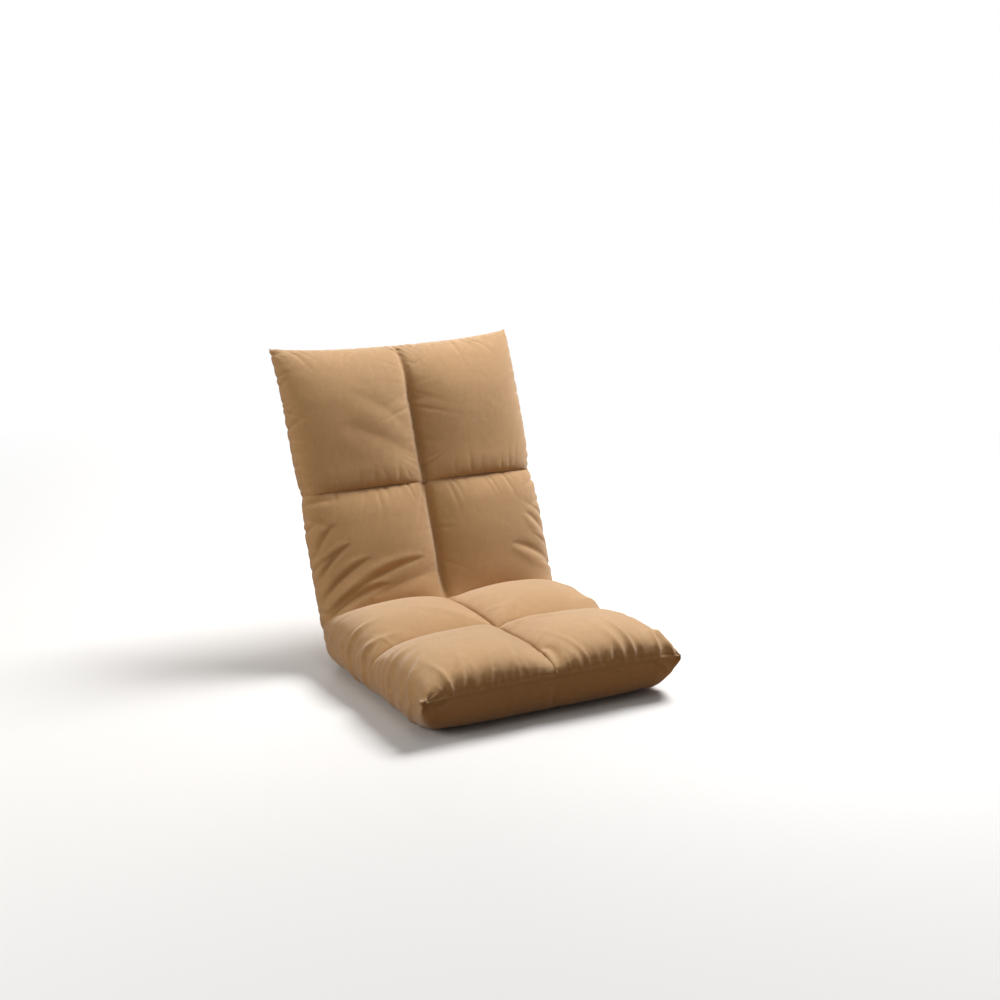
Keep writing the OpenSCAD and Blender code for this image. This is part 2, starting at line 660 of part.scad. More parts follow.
module seat_cushion() { color(cover) in_seat() padded_section(SEAT, seat_pocket_len); }
module back_cushion() { color(cover) in_back() padded_section(BACK, 0); }
module head_cushion() { color(cover) in_head() padded_section(HEAD, head_pocket_len); }
module waist_gusset() {
    color(cover) at_waist() gusset_mesh([for (u = GUSSET_ACROSS)
        concat(gusset_flanks(u, SEAT, BACK, waist_face, back_tilt, false),
            gusset_tunnel(u, waist_face, back_tilt))], 14);
}
// The cover round the rear of the waist hinges, from under the seat to the rear of the back
module waist_rear_gusset() {
    a0 = back_tilt - 90;
    color(cover) at_waist() gusset_mesh([for (u = GUSSET_ACROSS)
        concat(
            [for (i = [0:6]) let (a = mix(a0, -90, i / 6), g = i == 0 ? -gusset_gap : (i == 6 ? gusset_gap : 0))
                [u * half_w(SEAT, 0),
                    each beside(mix(rear_full(BACK, u, 0), rear_full(SEAT, u, 0), i / 6), a, g)]],
            [for (i = [6:-1:0]) let (a = mix(a0, -90, i / 6), g = i == 0 ? -gusset_gap : (i == 6 ? gusset_gap : 0))
                [u * half_w(SEAT, 0), each beside(gusset_inner(u), a, g)]])], 14);
}
module neck_gusset() {
    color(cover) in_head() gusset_mesh([for (u = GUSSET_ACROSS)
        concat(gusset_flanks(u, BACK, HEAD, neck_face, 0, true), gusset_tunnel(u, neck_face, 0))], 14);
}
module seat_base_cloth() {
    y1 = axis_back - cloth_margin;
    y0 = axis_back - seat_len + base_tuck + cloth_margin;
    color([0.2, 0.19, 0.18]) linear_extrude(cloth_t) {
        translate([-cloth_hw + cloth_corner, y0]) square([2 * (cloth_hw - cloth_corner), y1 - y0]);
        translate([-cloth_hw, y0 + cloth_corner]) square([2 * cloth_hw, y1 - y0 - 2 * cloth_corner]);
        for (x = [cloth_corner - cloth_hw, cloth_hw - cloth_corner], y = [y0 + cloth_corner, y1 - cloth_corner])
            translate([x, y]) circle(r = cloth_corner);
    }
}
module seat_foam_upper() { color(filling) in_seat() seat_foam(front_outline(SEAT, seat_pocket_len - foam_gap)); }
module seat_foam_lower() { color(filling) in_seat() seat_foam(rear_outline(seat_pocket_len - foam_gap)); }
module back_foam_front() {
    color(filling) in_back() back_foam(front_outline(BACK, back_len - foam_start));
}
module back_foam_rear() { color(filling) in_back() back_foam(rear_outline(back_len - foam_start)); }
module head_foam_front() { color(filling) in_head() head_foam(front_outline(HEAD, head_pocket_len - foam_gap)); }
module head_foam_rear() { color(filling) in_head() head_foam(rear_outline(head_pocket_len - foam_gap)); }
module seat_frame() { color(steel) in_seat() bent_tube(seat_front_tube); }
module seat_cross_tube() { color(steel) in_seat() cross_tube(seat_cross_tube_at); }
module back_side_tube_left() { color(steel) side_tube(-1); }
module back_side_tube_right() { color(steel) side_tube(1); }
module back_cross_tube_lower() { color(steel) in_back() cross_tube(back_cross_low); }
module back_cross_tube_upper() { color(steel) in_back() cross_tube(back_cross_high); }
module head_frame() { color(steel) in_head() bent_tube(head_top_tube); }
module head_cross_tube() { color(steel) in_head() cross_tube(head_cross_tube_at); }

seat_cushion();
back_cushion();
head_cushion();
waist_gusset();
waist_rear_gusset();
neck_gusset();
seat_base_cloth();
seat_foam_upper();
seat_foam_lower();
back_foam_front();
back_foam_rear();
head_foam_front();
head_foam_rear();
seat_frame();
seat_cross_tube();
back_side_tube_left();
back_side_tube_right();
back_cross_tube_lower();
back_cross_tube_upper();
head_frame();
head_cross_tube();
for (side = SIDES, what = HINGE_PIECES) {
    waist_hinge(side[0], what);
    neck_hinge(side[0], what);
}
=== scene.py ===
# %% [markdown]
# # A reclining floor chair
# The chair is a long padded cover folded into three sections, a seat, a back and a head, over a hidden
# steel frame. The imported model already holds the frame, the hinges and the foam at their real sizes. This
# lesson makes what is seen: three puffed sections of tan canvas, the cloth under the seat, and the finish
# of every part inside.

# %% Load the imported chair
import json
import math
import bmesh
import bpy
import numpy as np
from mathutils import Matrix, Vector


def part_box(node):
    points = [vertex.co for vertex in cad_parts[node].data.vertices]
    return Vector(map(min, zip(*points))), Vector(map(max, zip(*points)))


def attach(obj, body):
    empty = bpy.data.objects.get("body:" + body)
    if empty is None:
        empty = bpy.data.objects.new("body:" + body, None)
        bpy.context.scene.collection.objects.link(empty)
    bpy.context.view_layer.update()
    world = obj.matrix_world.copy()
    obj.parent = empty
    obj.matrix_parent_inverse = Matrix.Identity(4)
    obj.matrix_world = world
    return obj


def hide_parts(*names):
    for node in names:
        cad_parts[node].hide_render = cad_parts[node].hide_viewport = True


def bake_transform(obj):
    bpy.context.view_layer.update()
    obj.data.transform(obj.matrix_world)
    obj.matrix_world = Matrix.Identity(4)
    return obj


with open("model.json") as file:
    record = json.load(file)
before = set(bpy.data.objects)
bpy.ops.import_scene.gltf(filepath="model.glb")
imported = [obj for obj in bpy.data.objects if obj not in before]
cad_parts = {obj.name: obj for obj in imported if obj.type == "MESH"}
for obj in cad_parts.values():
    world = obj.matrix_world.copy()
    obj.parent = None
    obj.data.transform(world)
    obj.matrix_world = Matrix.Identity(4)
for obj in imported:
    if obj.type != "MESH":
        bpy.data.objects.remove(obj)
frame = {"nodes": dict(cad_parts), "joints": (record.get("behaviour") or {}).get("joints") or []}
scene = bpy.context.scene
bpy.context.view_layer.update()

# %% [markdown]
# Each section is drawn in its own frame: `along` runs up the section from its hinge, `front` points at the
# sitter, and X runs across the chair. The hinges give the two origins, so that nothing here repeats a place
# of the model, and the solids give the lengths and the thickness of the padding.

# %% Where the three sections lie
joints = {joint["name"]: joint for joint in frame["joints"]}
WAIST = Vector(joints["back_recline"]["pos_m"])
NECK = Vector(joints["head_tilt"]["pos_m"])
ACROSS = Vector((1, 0, 0))
UP = Vector((0, 0, 1))
SEAT_ALONG = Vector((0, -1, 0))
BACK_ALONG = (NECK - WAIST).normalized()
BACK_FRONT = Vector((0, -BACK_ALONG.z, BACK_ALONG.y))


def reach(node, origin, direction):
    """How far a node's solid goes from a point in one direction."""
    return max((vertex.co - origin).dot(direction) for vertex in frame["nodes"][node].data.vertices)


HALF_BODY = reach("back_cushion", WAIST, ACROSS)
CORNER_OUT = reach("seat_cushion", WAIST, ACROSS) - HALF_BODY
SEAT_LEN = reach("seat_cushion", WAIST, SEAT_ALONG)
BACK_LEN = (NECK - WAIST).length
SEAT_CROWN = reach("seat_cushion", WAIST, UP)
BACK_CROWN = reach("back_cushion", WAIST, BACK_FRONT)
HEAD_CROWN = reach("head_cushion", NECK, BACK_FRONT)
SEAT_DEPTH = reach("seat_cushion", WAIST, -UP)
HALF_RECLINE = (math.pi - BACK_ALONG.angle(-SEAT_ALONG)) / 2
print(f"seat {SEAT_LEN:.3f} m, back {BACK_LEN:.3f} m, half width {HALF_BODY:.3f} m, hinge bisector "
      f"{math.degrees(HALF_RECLINE):.1f} degrees")

# %% [markdown]
# A puffed cushion has no straight lines, but a few simple curves describe it. `shoulder` rises steeply from
# a seam and levels out like a quarter circle, `side_fall` drops to nothing at the sides, and `sewn` has a
# sharp peak on a channel, because thread holds the cloth down along one line only.

# %% Curves that the padding follows


def mix(a, b, t):
    return a + (b - a) * t


def near(distance, width):
    return np.exp(-(distance / width) ** 2)


def smooth(t):
    c = np.clip(t, 0, 1)
    return c * c * (3 - 2 * c)


def shoulder(t):
    return np.sqrt(1 - (1 - np.clip(t, 0, 1)) ** 2)


def blunt(t, power=2.5):
    """Like shoulder, with a thicker edge."""
    return (1 - (1 - np.clip(t, 0, 1)) ** power) ** (1 / power)


def round_end(t):
    """Full height at zero, and closed like a half circle at one."""
    return np.sqrt(np.clip(1 - t ** 2, 0, None))


def side_fall(u, power, root):
    return np.clip(1 - np.abs(u) ** power, 0, None) ** (1 / root)


def dip(distance, half):
    return (1 - np.minimum(1, np.abs(distance) / half)) ** 2


def sewn(distance, half, rounded):
    """One on a sewn channel, and nothing where the cell beside it is full. Rounded cells meet it steeply."""
    t = np.minimum(1, np.abs(distance) / half)
    return mix((1 - t) ** 2.6, 1 - shoulder(t), rounded)


def joined(a, b):
    """The greater of two depths, with a soft change where they are alike."""
    return (a ** 5 + b ** 5) ** 0.2


CREASE_PINCH = 0.003
NECK_PINCH = 0.008
PINCH_LEN = 0.025
CHANNEL_DIP = 0.50
CELL_SHARE = 0.50
CELL_SWELL = 0.08
CELL_REACH = 0.065
CELL_ROUNDED = 0.45
CELL_FULL = 3.4
CELL_ROOT = 2.4
FULL_AT = 0.4
WAIST_CREASE = 0.045
NECK_CREASE = 0.031
MIDDLE_SHARE = 0.2
WAIST_MIDDLE = 0.14
NECK_MIDDLE = 0.07

# The power and the root of a fall to the sides
WAIST_SIDES = (10, 3)
NECK_SIDES = (5.5, 2.4)
BASE_SIDES = (8, 3)
REAR_SIDES = (6, 2.5)
BOLSTER_SIDES = (5, 2.2)


def puffed(crown, u, swell, channel=CHANNEL_DIP, cross=0, full=CELL_FULL, rounded=CELL_ROUNDED):
    """Cells side by side, parted by a middle and a cross channel, and fullest where swell is one."""
    sides = side_fall(u, full, CELL_ROOT) / side_fall(FULL_AT, full, CELL_ROOT)
    sunk = joined(channel * sewn(u, CELL_SHARE, rounded), cross)
    return crown * (1 - sunk) * sides * (1 - CELL_SWELL * (1 - swell))


def waist_crease(u):
    return WAIST_CREASE * (1 - WAIST_MIDDLE * dip(u, MIDDLE_SHARE)) * side_fall(u, *WAIST_SIDES)


def neck_crease(u):
    return NECK_CREASE * (1 - NECK_MIDDLE * dip(u, MIDDLE_SHARE)) * side_fall(u, *NECK_SIDES)


print("middle channel", round(SEAT_CROWN * CHANNEL_DIP * 1000), "mm deep in the seat")

# %% [markdown]
# ## The seat
# The seat is a pillow with four cells. Its top comes out of the waist crease, dips at the cross channel and
# rounds down to a seam at mid height. Under the seam the cloth turns back to the floor. The end at the
# hinge has to be closed too, but it is never seen: it ends as a blunt nose inside the bolster of the back
# section.

# %% Shape of the seat section
SEAT_NOSE = 0.025
NOSE_IN = 0.016
NOSE_POWER = 0.8
NOSE_ROUND = 0.04
CROSS_AT = 0.212
CROSS_HALF = 0.085
CROSS_DIP = 0.50
FRONT_SWELL = 0.33
REAR_SWELL = 0.12
SEAT_FULL = 5
SEAT_ROUNDED = 0.7
WAIST_ROUND = 0.06
FRONT_ROUND = 0.105
FRONT_BLUNT = 3.2
FRONT_SEAM = 0.017
FRONT_CORNER = 0.012
FRONT_DIP = 0.003
BASE_TUCK = 0.062
CORNER_TUCK = 0.055
BASE_SPREAD = 1.12
CORNER_POWER = 5
SIDE_MEET = 8


class SeatForm:
    """Heights of the seat's two faces over the frame plane, for a share u across and a distance s along."""

    origin, along, front = WAIST, SEAT_ALONG, UP
    start, end = -SEAT_NOSE, SEAT_LEN
    close_rows = (SEAT_LEN, CROSS_AT, WAIST_CREASE / math.tan(HALF_RECLINE))
    overhang = 0

    def half_width(self, s):
        corner = CORNER_OUT * np.clip(s / SEAT_LEN, 0, None) ** CORNER_POWER
        nose = NOSE_IN * np.clip(-s / SEAT_NOSE, 0, 1) ** NOSE_POWER
        return HALF_BODY - CREASE_PINCH * np.exp(-np.abs(s) / PINCH_LEN) + corner - nose

    def seam(self, u):
        return SEAT_LEN - FRONT_DIP * dip(u, MIDDLE_SHARE)

    def seam_height(self, u):
        return mix(FRONT_CORNER, FRONT_SEAM, 1 - u * u)

    def face(self, u, s):
        crease = waist_crease(u)
        crease_s = crease / math.tan(HALF_RECLINE)
        swell = near(s - FRONT_SWELL, CELL_REACH) + near(s - REAR_SWELL, CELL_REACH)
        cross = CROSS_DIP * sewn(s - CROSS_AT, CROSS_HALF, SEAT_ROUNDED)
        cells = puffed(SEAT_CROWN, u, swell, cross=cross, full=SEAT_FULL, rounded=SEAT_ROUNDED)
        low = mix(crease, cells, shoulder((s - crease_s) / WAIST_ROUND))
        high = mix(self.seam_height(u), cells, blunt((self.seam(u) - s) / FRONT_ROUND, FRONT_BLUNT))
        nose = crease * shoulder((s + SEAT_NOSE) / (crease_s + SEAT_NOSE))
        return np.where(s < crease_s, nose, np.where(s < SEAT_LEN / 2, low, high))

    def rear(self, u, s):
        depth = np.minimum(SEAT_DEPTH, BASE_SPREAD * SEAT_DEPTH * side_fall(u, *BASE_SIDES))
        tuck = BASE_TUCK + CORNER_TUCK * np.abs(u) ** CORNER_POWER
        front = blunt((self.seam(u) - s) / tuck)
        nose = shoulder((s + SEAT_NOSE) / NOSE_ROUND)
        under = mix(self.seam_height(u), -depth * nose, front)
        side = FRONT_CORNER * (1 - front)
        return under + (self.face(np.sign(u), s) - side) * np.abs(u) ** SIDE_MEET


print("the seat reaches", round(SEAT_LEN * 1000), "mm in front of the waist hinge")

# %% [markdown]
# ## The back
# The back section ends in a bolster round the waist hinge. At the front it lies inside the seat, and at the
# rear it is the slack cloth that rolls round the hinge. A bolster is round about the hinge axis, so that it
# looks the same however far the back reclines, and no gap can open in the crease. The back's top end is
# narrower and lies in the head.

# %% Shape of the back section
BOLSTER_IN = 0.045
ROLL_REACH = 0.054
WAIST_REAR = 0.048
NECK_REAR = 0.043
NECK_ROUND = 0.06
BACK_SWELL = 0.148
BACK_ROUND = 0.85 * WAIST_ROUND
BACK_RISE = 1.8
TOP_NOSE = 0.025
TOP_IN = 0.024
LIP = 0.006
LIP_SINK = 0.002


class BackForm:
    """Heights of the back's two faces in front of and behind the frame plane."""

    origin, along, front = WAIST, BACK_ALONG, BACK_FRONT
    start, end = -SEAT_DEPTH, BACK_LEN + TOP_NOSE
    close_rows = (BACK_LEN, WAIST_CREASE / math.tan(HALF_RECLINE))
    overhang = 0

    def half_width(self, s):
        waist = CREASE_PINCH * np.exp(-np.clip(s, 0, None) / PINCH_LEN)
        neck = NECK_PINCH * np.exp(-np.clip(BACK_LEN - s, 0, None) / PINCH_LEN)
        top = TOP_IN * (1 - round_end(np.clip((s - BACK_LEN) / TOP_NOSE, 0, 1)))
        bolster = BOLSTER_IN * (1 - round_end(np.clip(-s / SEAT_DEPTH, 0, 1)))
        return HALF_BODY - waist - neck - top - bolster

    def seam(self, u):
        return self.end + 0 * u

    def face(self, u, s):
        crease = waist_crease(u)
        crease_s = crease / math.tan(HALF_RECLINE)
        cells = puffed(BACK_CROWN, u, near(s - BACK_SWELL, CELL_REACH))
        low = mix(crease, cells, shoulder((s - crease_s) / BACK_ROUND) ** BACK_RISE)
        high = mix(neck_crease(u), cells, shoulder((BACK_LEN - s) / NECK_ROUND))
        bolster_r = crease / math.sin(HALF_RECLINE)
        behind = bolster_r * round_end(s / SEAT_DEPTH)
        ahead = np.sqrt(np.clip(bolster_r ** 2 - s ** 2, 0, None))
        flank = np.where(s < 0, behind, ahead)
        top = (neck_crease(u) - LIP_SINK) * round_end((s - BACK_LEN) / TOP_NOSE)
        shape = np.where(s < crease_s, flank, np.where(s < BACK_LEN / 2, low, high))
        return np.where(s > BACK_LEN, top, shape)

    def rear(self, u, s):
        round_r = WAIST_REAR + (SEAT_DEPTH - WAIST_REAR) * np.clip(-s / ROLL_REACH, 0, 1)
        bolster = np.sqrt(np.clip(round_r ** 2 - s ** 2, 0, None))
        flat = mix(WAIST_REAR, NECK_REAR, np.clip(s, 0, None) / BACK_LEN)
        flat = flat - LIP_SINK * smooth((s - BACK_LEN + LIP) / LIP)
        top = round_end(np.clip(s - BACK_LEN, 0, None) / TOP_NOSE)
        sides = np.where(s < 0, side_fall(u, *BOLSTER_SIDES), side_fall(u, *REAR_SIDES))
        return -np.where(s < 0, bolster, flat * top) * sides


print("the back is", round(BACK_LEN * 1000), "mm from hinge to hinge")

# %% [markdown]
# ## The head
# The head section is shorter, with pointed corners and its seam along the top rear edge. A skirt of its
# cover goes down inside the back section, so that the rear stays closed when the head tips forward.

# %% Shape of the head section
HEAD_REAR = 0.040
TOP_SEAM = -0.012
TOP_ROUND = 0.12
HEAD_ROUND = 0.034
OVERHANG = 0.010
HEAD_SWELL = 0.123
CHANNEL_EASE = 0.3
EASE_FROM = 0.15
EASE_OVER = 0.06
TOP_SAG = 0.015
REAR_ROUND = 0.06
SKIRT = 0.036
SKIRT_CLOSE = 0.012
HEAD_NOSE = 0.029
HEAD_LEN = reach("head_cushion", NECK, BACK_ALONG)


class HeadForm:
    """Heights of the head's two faces in front of and behind the frame plane."""

    origin, along, front = NECK, BACK_ALONG, BACK_FRONT
    start, end = -SKIRT, HEAD_LEN
    close_rows = (HEAD_LEN, 0)
    overhang = OVERHANG

    def half_width(self, s):
        corner = CORNER_OUT * np.clip(s / HEAD_LEN, 0, None) ** CORNER_POWER
        return HALF_BODY - NECK_PINCH * np.exp(-np.abs(s) / PINCH_LEN) + corner

    def seam(self, u):
        return HEAD_LEN - TOP_SAG * (1 - np.abs(u) ** 3)

    def face(self, u, s):
        crease = neck_crease(u)
        channel = CHANNEL_DIP * (1 - CHANNEL_EASE * smooth((s - EASE_FROM) / EASE_OVER))
        cells = puffed(HEAD_CROWN, u, near(s - HEAD_SWELL, CELL_REACH), channel)
        low = mix(crease, cells, shoulder(s / HEAD_ROUND))
        high = mix(TOP_SEAM, cells, shoulder((self.seam(u) - s) / TOP_ROUND))
        nose = HEAD_NOSE * round_end(s / SKIRT) * side_fall(u, *NECK_SIDES)
        return np.where(s < 0, nose, np.where(s < HEAD_LEN / 2, low, high))

    def rear(self, u, s):
        depth = mix(NECK_REAR, HEAD_REAR, np.clip(s, 0, None) / HEAD_LEN) - LIP_SINK * smooth(-s / LIP)
        closing = shoulder((self.seam(u) - s) / REAR_ROUND)
        skirt = shoulder((s + SKIRT) / SKIRT_CLOSE)
        rear = mix(TOP_SEAM, -depth * skirt * side_fall(u, *REAR_SIDES), closing)
        side = TOP_SEAM * (1 - closing)
        return rear + (self.face(np.sign(u), s) - side) * np.abs(u) ** SIDE_MEET


print("the head reaches", round(HEAD_LEN * 1000), "mm above the neck hinge")

# %% [markdown]
# ## From a form to cloth
# A pillow is two panels joined round their edges, so each section starts as two grids, one over the other,
# with their borders welded. The rows and columns are then moved onto the form at even distances measured
# over the cloth, because cloth simulation and weave both need squares of nearly one size. Beside a seam the
# rows lie closer.

# %% Lay a welded pair of grids over a form
CLOSE_GAIN = 1.3
CLOSE_WIDTH = 0.007
DENSE = 1200
WELD_DIST = 1e-6
FRONT_FACE = 1
REAR_FACE = -1
FACES = (FRONT_FACE, REAR_FACE)
SEAM_POWER = 4
HANG_AT = 1.2
HANG_WIDTH = 1.4


def even_places(along, rise, closeness, count):
    """Places along a curve that are evenly spaced over the cloth, closer where closeness is high."""
    middle = (along[1:] + along[:-1]) / 2
    steps = np.hypot(np.diff(along), rise) * closeness(middle)
    run = np.concatenate([[0], np.cumsum(steps)])
    return np.interp(np.linspace(0, run[-1], count + 1), run, along)


def row_places(form, rows):
    s = np.linspace(form.start, form.end, DENSE)
    rise = np.maximum(np.abs(np.diff(form.face(0.5, s))), np.abs(np.diff(form.rear(0.5, s))))

    def closeness(at):
        return 1 + CLOSE_GAIN * sum(near(at - line, CLOSE_WIDTH) for line in form.close_rows)

    return even_places(s, rise, closeness, rows)


def over_cloth(along, height):
    """Distance over the cloth, point by point."""
    return np.concatenate([[0], np.cumsum(np.hypot(np.diff(along), np.diff(height)))])


def lay_row(form, s, face, columns):
    """Shares across, and distances over the cloth from the middle, for one row of one face."""
    half = np.linspace(0, 1, DENSE)
    height = form.face(half, s) if face == FRONT_FACE else form.rear(half, s)
    x = half * form.half_width(s)

    def closeness(at):
        return 1 + CLOSE_GAIN * near(at, CLOSE_WIDTH)

    places = even_places(x, np.diff(height), closeness, columns // 2)
    length = over_cloth(x, height)
    over = np.interp(places, x, length)
    share = places / form.half_width(s)
    return np.concatenate([-share[:0:-1], share]), np.concatenate([-over[:0:-1], over]), length[-1]


def welded_grids(columns, rows):
    """Two grids welded round their borders. X and Y hold column and row, and Z the face."""
    bm = bmesh.new()
    for face in FACES:
        made = bmesh.ops.create_grid(bm, x_segments=columns, y_segments=rows, size=1,
                                     matrix=Matrix.Translation((0, 0, face)))
        faces = {f for v in made["verts"] for f in v.link_faces}
        if face == REAR_FACE:
            bmesh.ops.reverse_faces(bm, faces=list(faces))
    for vertex in bm.verts:
        if max(abs(vertex.co.x), abs(vertex.co.y)) > 1 - WELD_DIST:
            vertex.co.z = 0
    bmesh.ops.remove_doubles(bm, verts=bm.verts, dist=WELD_DIST)
    return bm


def keep_mesh(bm, name):
    mesh = bpy.data.meshes.new(name)
    bm.to_mesh(mesh)
    bm.free()
    return mesh


def add_object(name, data):
    made = bpy.data.objects.new(name, data)
    scene.collection.objects.link(made)
    return made


def read_values(mesh, name):
    values = np.zeros(len(mesh.vertices), np.float32)
    mesh.attributes[name].data.foreach_get("value", values)
    return values.astype(float)


def read_points(mesh):
    points = np.zeros(len(mesh.vertices) * 3, np.float32)
    mesh.vertices.foreach_get("co", points)
    return points.reshape(-1, 3).astype(float)


def write_points(mesh, points):
    mesh.vertices.foreach_set("co", np.asarray(points, np.float32).ravel())
    mesh.update()


def read_normals(mesh):
    normals = np.zeros(len(mesh.vertices) * 3, np.float32)
    mesh.vertex_normals.foreach_get("vector", normals)
    return normals.reshape(-1, 3).astype(float)


def drape_over(form, name, columns, rows):
    """A closed cover over a form. Attributes and a UV map keep where each point lies on the cloth."""
    bm = welded_grids(columns, rows)
    places = np.array([v.co for v in bm.verts])
    column = np.rint((places[:, 0] + 1) / 2 * columns).astype(int)
    row = np.rint((places[:, 1] + 1) / 2 * rows).astype(int)
    side = np.rint(places[:, 2])
    row_s = row_places(form, rows)
    run = {FRONT_FACE: over_cloth(row_s, form.face(0.5, row_s)),
           REAR_FACE: over_cloth(row_s, form.rear(0.5, row_s))}
    share, over, width = {}, {}, {}
    for face in FACES:
        laid = [lay_row(form, s, face, columns) for s in row_s]
        share[face], over[face], width[face] = (np.array(part) for part in zip(*laid))

    def pick(value_of):
        """The value that each point has on its own face."""
        return np.where(side == REAR_FACE, value_of(REAR_FACE), value_of(FRONT_FACE))

    u = pick(lambda face: share[face][row, column])
    s0 = row_s[row]
    s = s0 + (form.seam(u) - form.end) * np.clip(s0 / form.end, 0, 1) ** SEAM_POWER
    h = np.where(side == REAR_FACE, form.rear(u, s), form.face(u, s))
    hang = near(s - HANG_AT * form.overhang, HANG_WIDTH * form.overhang + 1e-9)
    s = s - form.overhang * hang * (side > 0)
    x = u * form.half_width(s)
    points = np.array(form.origin) + np.outer(x, ACROSS) + np.outer(s, form.along) + np.outer(h, form.front)
    mesh = keep_mesh(bm, name)
    write_points(mesh, points)
    uv = mesh.uv_layers.new(name="cloth")
    for polygon in mesh.polygons:
        corners = list(polygon.vertices)
        face = REAR_FACE if min(side[v] for v in corners) == REAR_FACE else FRONT_FACE
        for loop, v in zip(polygon.loop_indices, corners):
            across = over[face][row[v], column[v]]
            if face == REAR_FACE:
                whole = width[FRONT_FACE][row[v]] + width[face][row[v]]
                across = np.sign(column[v] - columns / 2) * whole - across
            uv.data[loop].uv = (across, run[face][row[v]])
    kept = {"share": u, "place": s, "face": side,
            "edge_off": pick(lambda face: width[face][row] - np.abs(over[face][row, column])),
            "end_off": pick(lambda face: run[face][-1] - run[face][row])}
    for key, values in kept.items():
        attribute = mesh.attributes.new(key, "FLOAT", "POINT")
        attribute.data.foreach_set("value", np.asarray(values, np.float32))
    print(f"{name}: {len(mesh.polygons)} squares of cloth, rows about "
          f"{1000 * run[FRONT_FACE][-1] / rows:.1f} mm apart")
    return add_object(name, mesh)


SEAT = SeatForm()
BACK = BackForm()
HEAD = HeadForm()
COLUMNS = 100
SEAT_ROWS = 104
BACK_ROWS = 88
HEAD_ROWS = 76
seat_pad = drape_over(SEAT, "seat_pad", COLUMNS, SEAT_ROWS)
back_pad = drape_over(BACK, "back_pad", COLUMNS, BACK_ROWS)
head_pad = drape_over(HEAD, "head_pad", COLUMNS, HEAD_ROWS)
COVERS = (seat_pad, back_pad, head_pad)

# %% [markdown]
# ## Puffing up the cloth
# Real padding is cloth that a filling pushes out while thread holds it back. Blender's cloth simulation
# does just that: pressure fills the cover, pins hold the channels and seams, and the cloth is cut a little
# larger than its form, so that it has to buckle into small folds beside each seam. How far a point may move
# is capped.

# %% Simulate the padding
FRAMES = 20
CLOTH = {
    "quality": 6,
    "mass": 0.3,
    "tension_stiffness": 20,
    "compression_stiffness": 20,
    "shear_stiffness": 8,
    "bending_stiffness": 0.6,
    "use_pressure": True,
    "uniform_pressure_force": 6,
    # Negative, so that the cloth is cut 0.6% larger than its form
    "shrink_min": -0.006,
    "shrink_max": -0.006,
    "vertex_group_mass": "held",
}
WADDING_HOLD = 0.22
MOST_MOVED = 0.014
FLOOR_CLEAR = 0.0017
FLAT_BASE = 0.004
SET_IN = 0.002
HELD_WIDTH = 0.004
END_WIDTH = 0.003
EVEN_PASSES = 4


def held(cover, form, lines):
    """How firmly each point is held: fully on a sewn line and on the base."""
    mesh = cover.data
    s = read_values(mesh, "place")
    x = read_values(mesh, "share") * form.half_width(s)
    hold = np.full(len(s), WADDING_HOLD)
    on_front = read_values(mesh, "face") >= 0
    hold = np.maximum(hold, near(x, HELD_WIDTH) * on_front)
    for line in lines:
        hold = np.maximum(hold, near(s - line, HELD_WIDTH) * on_front)
    hold = np.maximum(hold, near(read_values(mesh, "end_off"), END_WIDTH))
    return np.maximum(hold, read_points(mesh)[:, 2] < FLAT_BASE)


def evaluated(cover):
    """The cover as its modifiers make it."""
    return cover.evaluated_get(bpy.context.evaluated_depsgraph_get())


def evened(mesh, moved):
    """Takes the finest crumples out of a simulated move, and leaves the swell and the folds."""
    ends = np.zeros(len(mesh.edges) * 2, np.int32)
    mesh.edges.foreach_get("vertices", ends)
    first = np.concatenate([ends[::2], ends[1::2]])
    second = np.concatenate([ends[1::2], ends[::2]])
    count = np.bincount(first)[:, None]
    for _ in range(EVEN_PASSES):
        around = np.stack([np.bincount(first, moved[second, axis]) for axis in range(3)], axis=1)
        moved = (moved + around / count) / 2
    return moved


def puff(cover, form, lines, shown):
    """Fills one cover by simulation, and keeps the result as its mesh. Only the shown stretch may move."""
    mesh = cover.data
    start = read_points(mesh)
    place = read_values(mesh, "place")
    hold = np.maximum(held(cover, form, lines), (place < shown[0]) | (place > shown[1]))
    write_points(mesh, start - read_normals(mesh) * (SET_IN * (1 - hold))[:, None])
    group = cover.vertex_groups.new(name="held")
    for index, weight in enumerate(hold):
        group.add([index], float(weight), "REPLACE")
    cloth = cover.modifiers.new("Cloth", "CLOTH")
    for key, value in CLOTH.items():
        setattr(cloth.settings, key, value)
    cloth.settings.effector_weights.gravity = 0
    cloth.collision_settings.use_collision = False
    cloth.point_cache.frame_end = FRAMES
    for step in range(1, FRAMES + 1):
        scene.frame_set(step)
    moved = evened(mesh, read_points(evaluated(cover).data) - start)
    length = np.linalg.norm(moved, axis=1)
    cap = MOST_MOVED * np.tanh(length / MOST_MOVED) / np.maximum(length, 1e-9)
    cover.modifiers.remove(cloth)
    cover.vertex_groups.remove(group)
    scene.frame_set(1)
    settled = start + moved * cap[:, None]
    settled[:, 2] = np.maximum(settled[:, 2], FLOOR_CLEAR)
    write_points(mesh, settled)
    print(f"{cover.name}: moved {1000 * length.mean():.1f} mm on average, "
          f"{1000 * length.max():.1f} mm at most")


puff(seat_pad, SEAT, [CROSS_AT], shown=(0, math.inf))
puff(back_pad, BACK, [], shown=(0, BACK_LEN + 0.002))
puff(head_pad, HEAD, [], shown=(-0.004, math.inf))

# %% [markdown]
# The simulated squares are about 6 mm wide, too coarse for a tuck. One level of subdivision halves them and
# smooths the cloth, and the tucks are pressed into that finer mesh afterwards.

# %% Refine each cover


